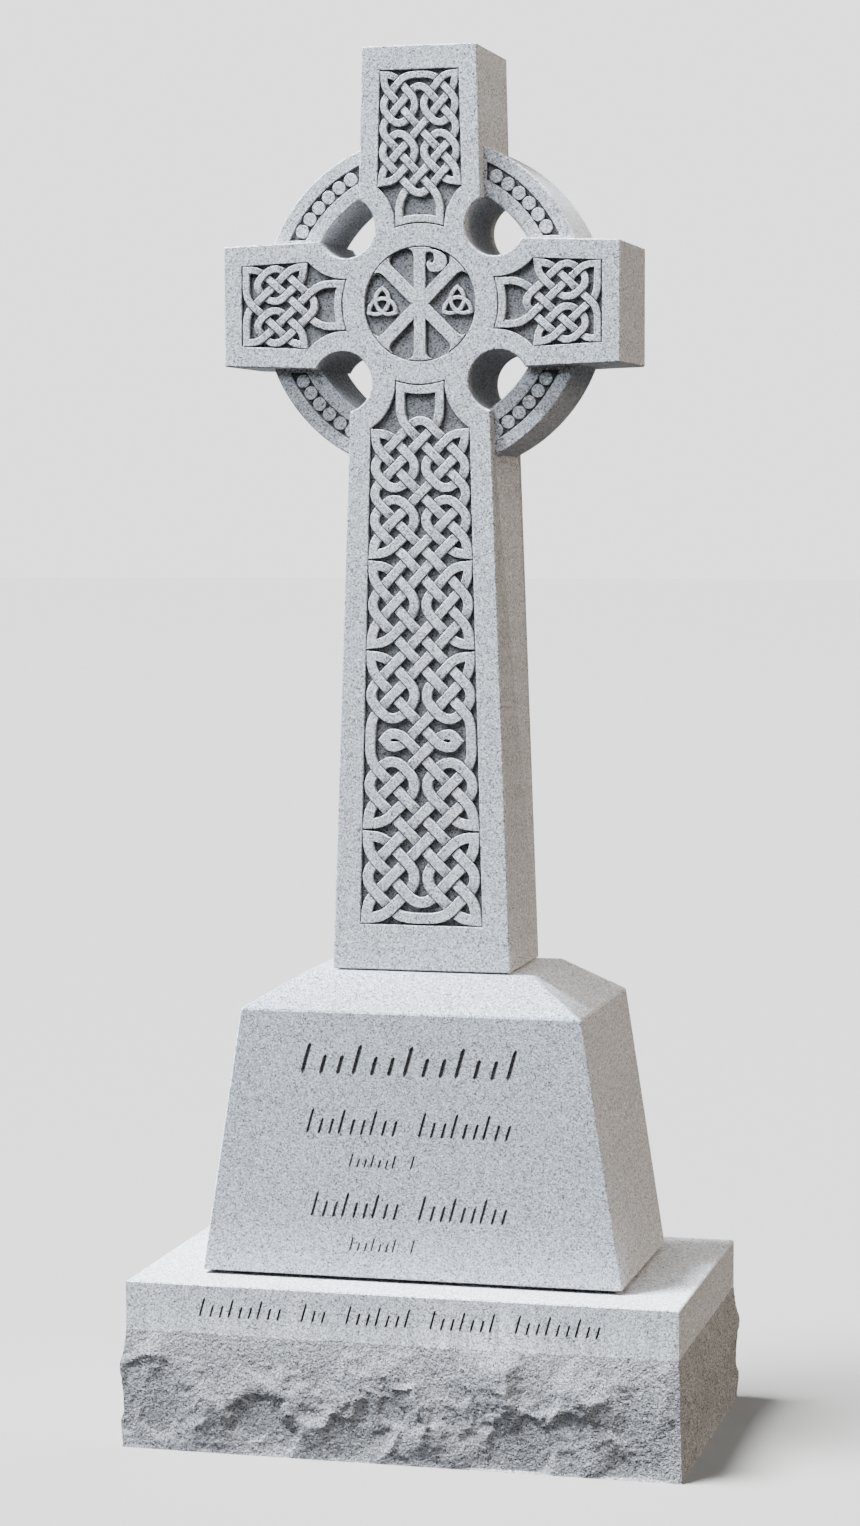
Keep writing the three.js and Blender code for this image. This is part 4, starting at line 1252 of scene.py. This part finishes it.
FLOOR_SIZE = 120
FLOOR_COLOUR = (0.82, 0.82, 0.81, 1)
FLOOR_ROUGHNESS = 0.9
STONES = ("base", "plinth", "cross")
MIDDLE = (0, 0, 1.1)
CHEST = (0, 0, 1.5)
HIGH_LEFT = (-1.9, -0.8, 5.655)
LOW_LEFT = (-4.1, -0.625, 3.9)
ABOVE_FRONT = (-1.0, -3.2, 4.4)
RIGHT = (8.0, -0.6, 6.4)
REAR = (-3.0, 9.0, 2.2)
WHITE = (1.0, 1.0, 1.0)
LAMPS = (
    Lamp("key", "SUN", 23.6, (0.86, 0.915, 1.0), HIGH_LEFT, MIDDLE, 12, ("base", "cross")),
    Lamp("plinth_key", "SUN", 25.5, (0.79, 0.88, 1.0), LOW_LEFT, MIDDLE, 12, ("plinth",)),
    Lamp("front_fill", "AREA", 195, (0.80, 0.88, 1.0), ABOVE_FRONT, CHEST, 2.6, STONES),
    Lamp("right_bounce", "SUN", 2.15, (1.0, 0.86, 0.70), RIGHT, MIDDLE, 35, STONES),
    Lamp("rear_fill", "SUN", 2.3, (0.96, 0.98, 1.0), REAR, MIDDLE, 60, STONES),
    Lamp("floor_key", "SUN", 8.3, WHITE, HIGH_LEFT, MIDDLE, 24, ("floor",)),
)
SURROUND_COLOUR = (0.97, 0.98, 1.0, 1)
SURROUND_HEIGHTS = (-0.3, 0.3)
SURROUND_STRENGTHS = (0.08, 0.22)
BACKDROP_STRENGTH = 2.2
CAMERA_PLACE = (1.3087, -5.2445, 1.4531)
CAMERA_YAW = 0.24646
CAMERA_PITCH = -0.07477
CAMERA_ROLL = -0.0023
FOCAL_PIXELS = 3461.7
FRAME_HEIGHT = 1526
SENSOR_HEIGHT = 24


def pale_floor():
    """A plain floor that reflects nothing onto the stones."""
    corners = level(FLOOR_SIZE, FLOOR_SIZE, 0)
    mesh = bpy.data.meshes.new("floor")
    mesh.from_pydata(corners, [], [range(len(corners))])
    material = bpy.data.materials.new("pale_floor")
    material.use_nodes = True
    shader = material.node_tree.nodes["Principled BSDF"]
    shader.inputs["Base Color"].default_value = FLOOR_COLOUR
    shader.inputs["Roughness"].default_value = FLOOR_ROUGHNESS
    mesh.materials.append(material)
    floor = new_object("floor", mesh)
    floor.visible_diffuse = False
    floor.visible_glossy = False
    return floor


def group_of(name, objects):
    group = bpy.data.collections.new(name)
    for obj in objects:
        group.objects.link(obj)
    return group


def add_lamp(lamp):
    data = bpy.data.lights.new(lamp.name, lamp.kind)
    data.energy = lamp.energy
    data.color = lamp.colour
    if lamp.kind == "SUN":
        data.angle = math.radians(lamp.width)
    else:
        data.size = lamp.width
    light = new_object(lamp.name, data)
    light.location = lamp.place
    way = Vector(lamp.target) - Vector(lamp.place)
    light.rotation_euler = way.to_track_quat("-Z", "Y").to_euler()
    return light


def light_scene(objects):
    """A cool key from the left, lower on the plinth, a cool front fill and a warm bounce from the right."""
    stones = group_of("stones", [objects[name] for name in STONES])
    for lamp in LAMPS:
        linking = add_lamp(lamp).light_linking
        linking.receiver_collection = group_of(lamp.name + "_lit", [objects[name] for name in lamp.lit])
        linking.blocker_collection = stones


def surround_scene():
    """A faint surround, dimmer below, and a pale backdrop where the camera sees past the floor."""
    world = bpy.data.worlds.new("world")
    bpy.context.scene.world = world
    world.use_nodes = True
    tree = world.node_tree
    link = tree.links.new
    surround = tree.nodes["Background"]
    surround.inputs["Color"].default_value = SURROUND_COLOUR
    parts = add_node(tree, "ShaderNodeSeparateXYZ")
    link(add_node(tree, "ShaderNodeTexCoord").outputs["Generated"], parts.inputs["Vector"])
    strength = remap(tree, parts.outputs["Z"], SURROUND_HEIGHTS, SURROUND_STRENGTHS)
    link(strength, surround.inputs["Strength"])
    backdrop = add_node(tree, "ShaderNodeBackground", {"Color": (*WHITE, 1), "Strength": BACKDROP_STRENGTH})
    mix = add_node(tree, "ShaderNodeMixShader")
    link(add_node(tree, "ShaderNodeLightPath").outputs["Is Camera Ray"], mix.inputs["Fac"])
    link(surround.outputs["Background"], mix.inputs[1])
    link(backdrop.outputs["Background"], mix.inputs[2])
    link(mix.outputs["Shader"], tree.nodes["World Output"].inputs["Surface"])


def photo_camera():
    data = bpy.data.cameras.new("camera")
    data.sensor_fit = "VERTICAL"
    data.sensor_height = SENSOR_HEIGHT
    data.lens = SENSOR_HEIGHT * FOCAL_PIXELS / FRAME_HEIGHT
    camera = new_object("camera", data)
    turn = Matrix.Rotation(CAMERA_YAW, 4, "Z") @ Matrix.Rotation(math.pi / 2 + CAMERA_PITCH, 4, "X")
    turn = turn @ Matrix.Rotation(CAMERA_ROLL, 4, "Z")
    camera.matrix_world = Matrix.Translation(CAMERA_PLACE) @ turn
    bpy.context.scene.camera = camera


light_scene({"base": base, "plinth": plinth, "cross": cross, "floor": pale_floor()})
surround_scene()
photo_camera()
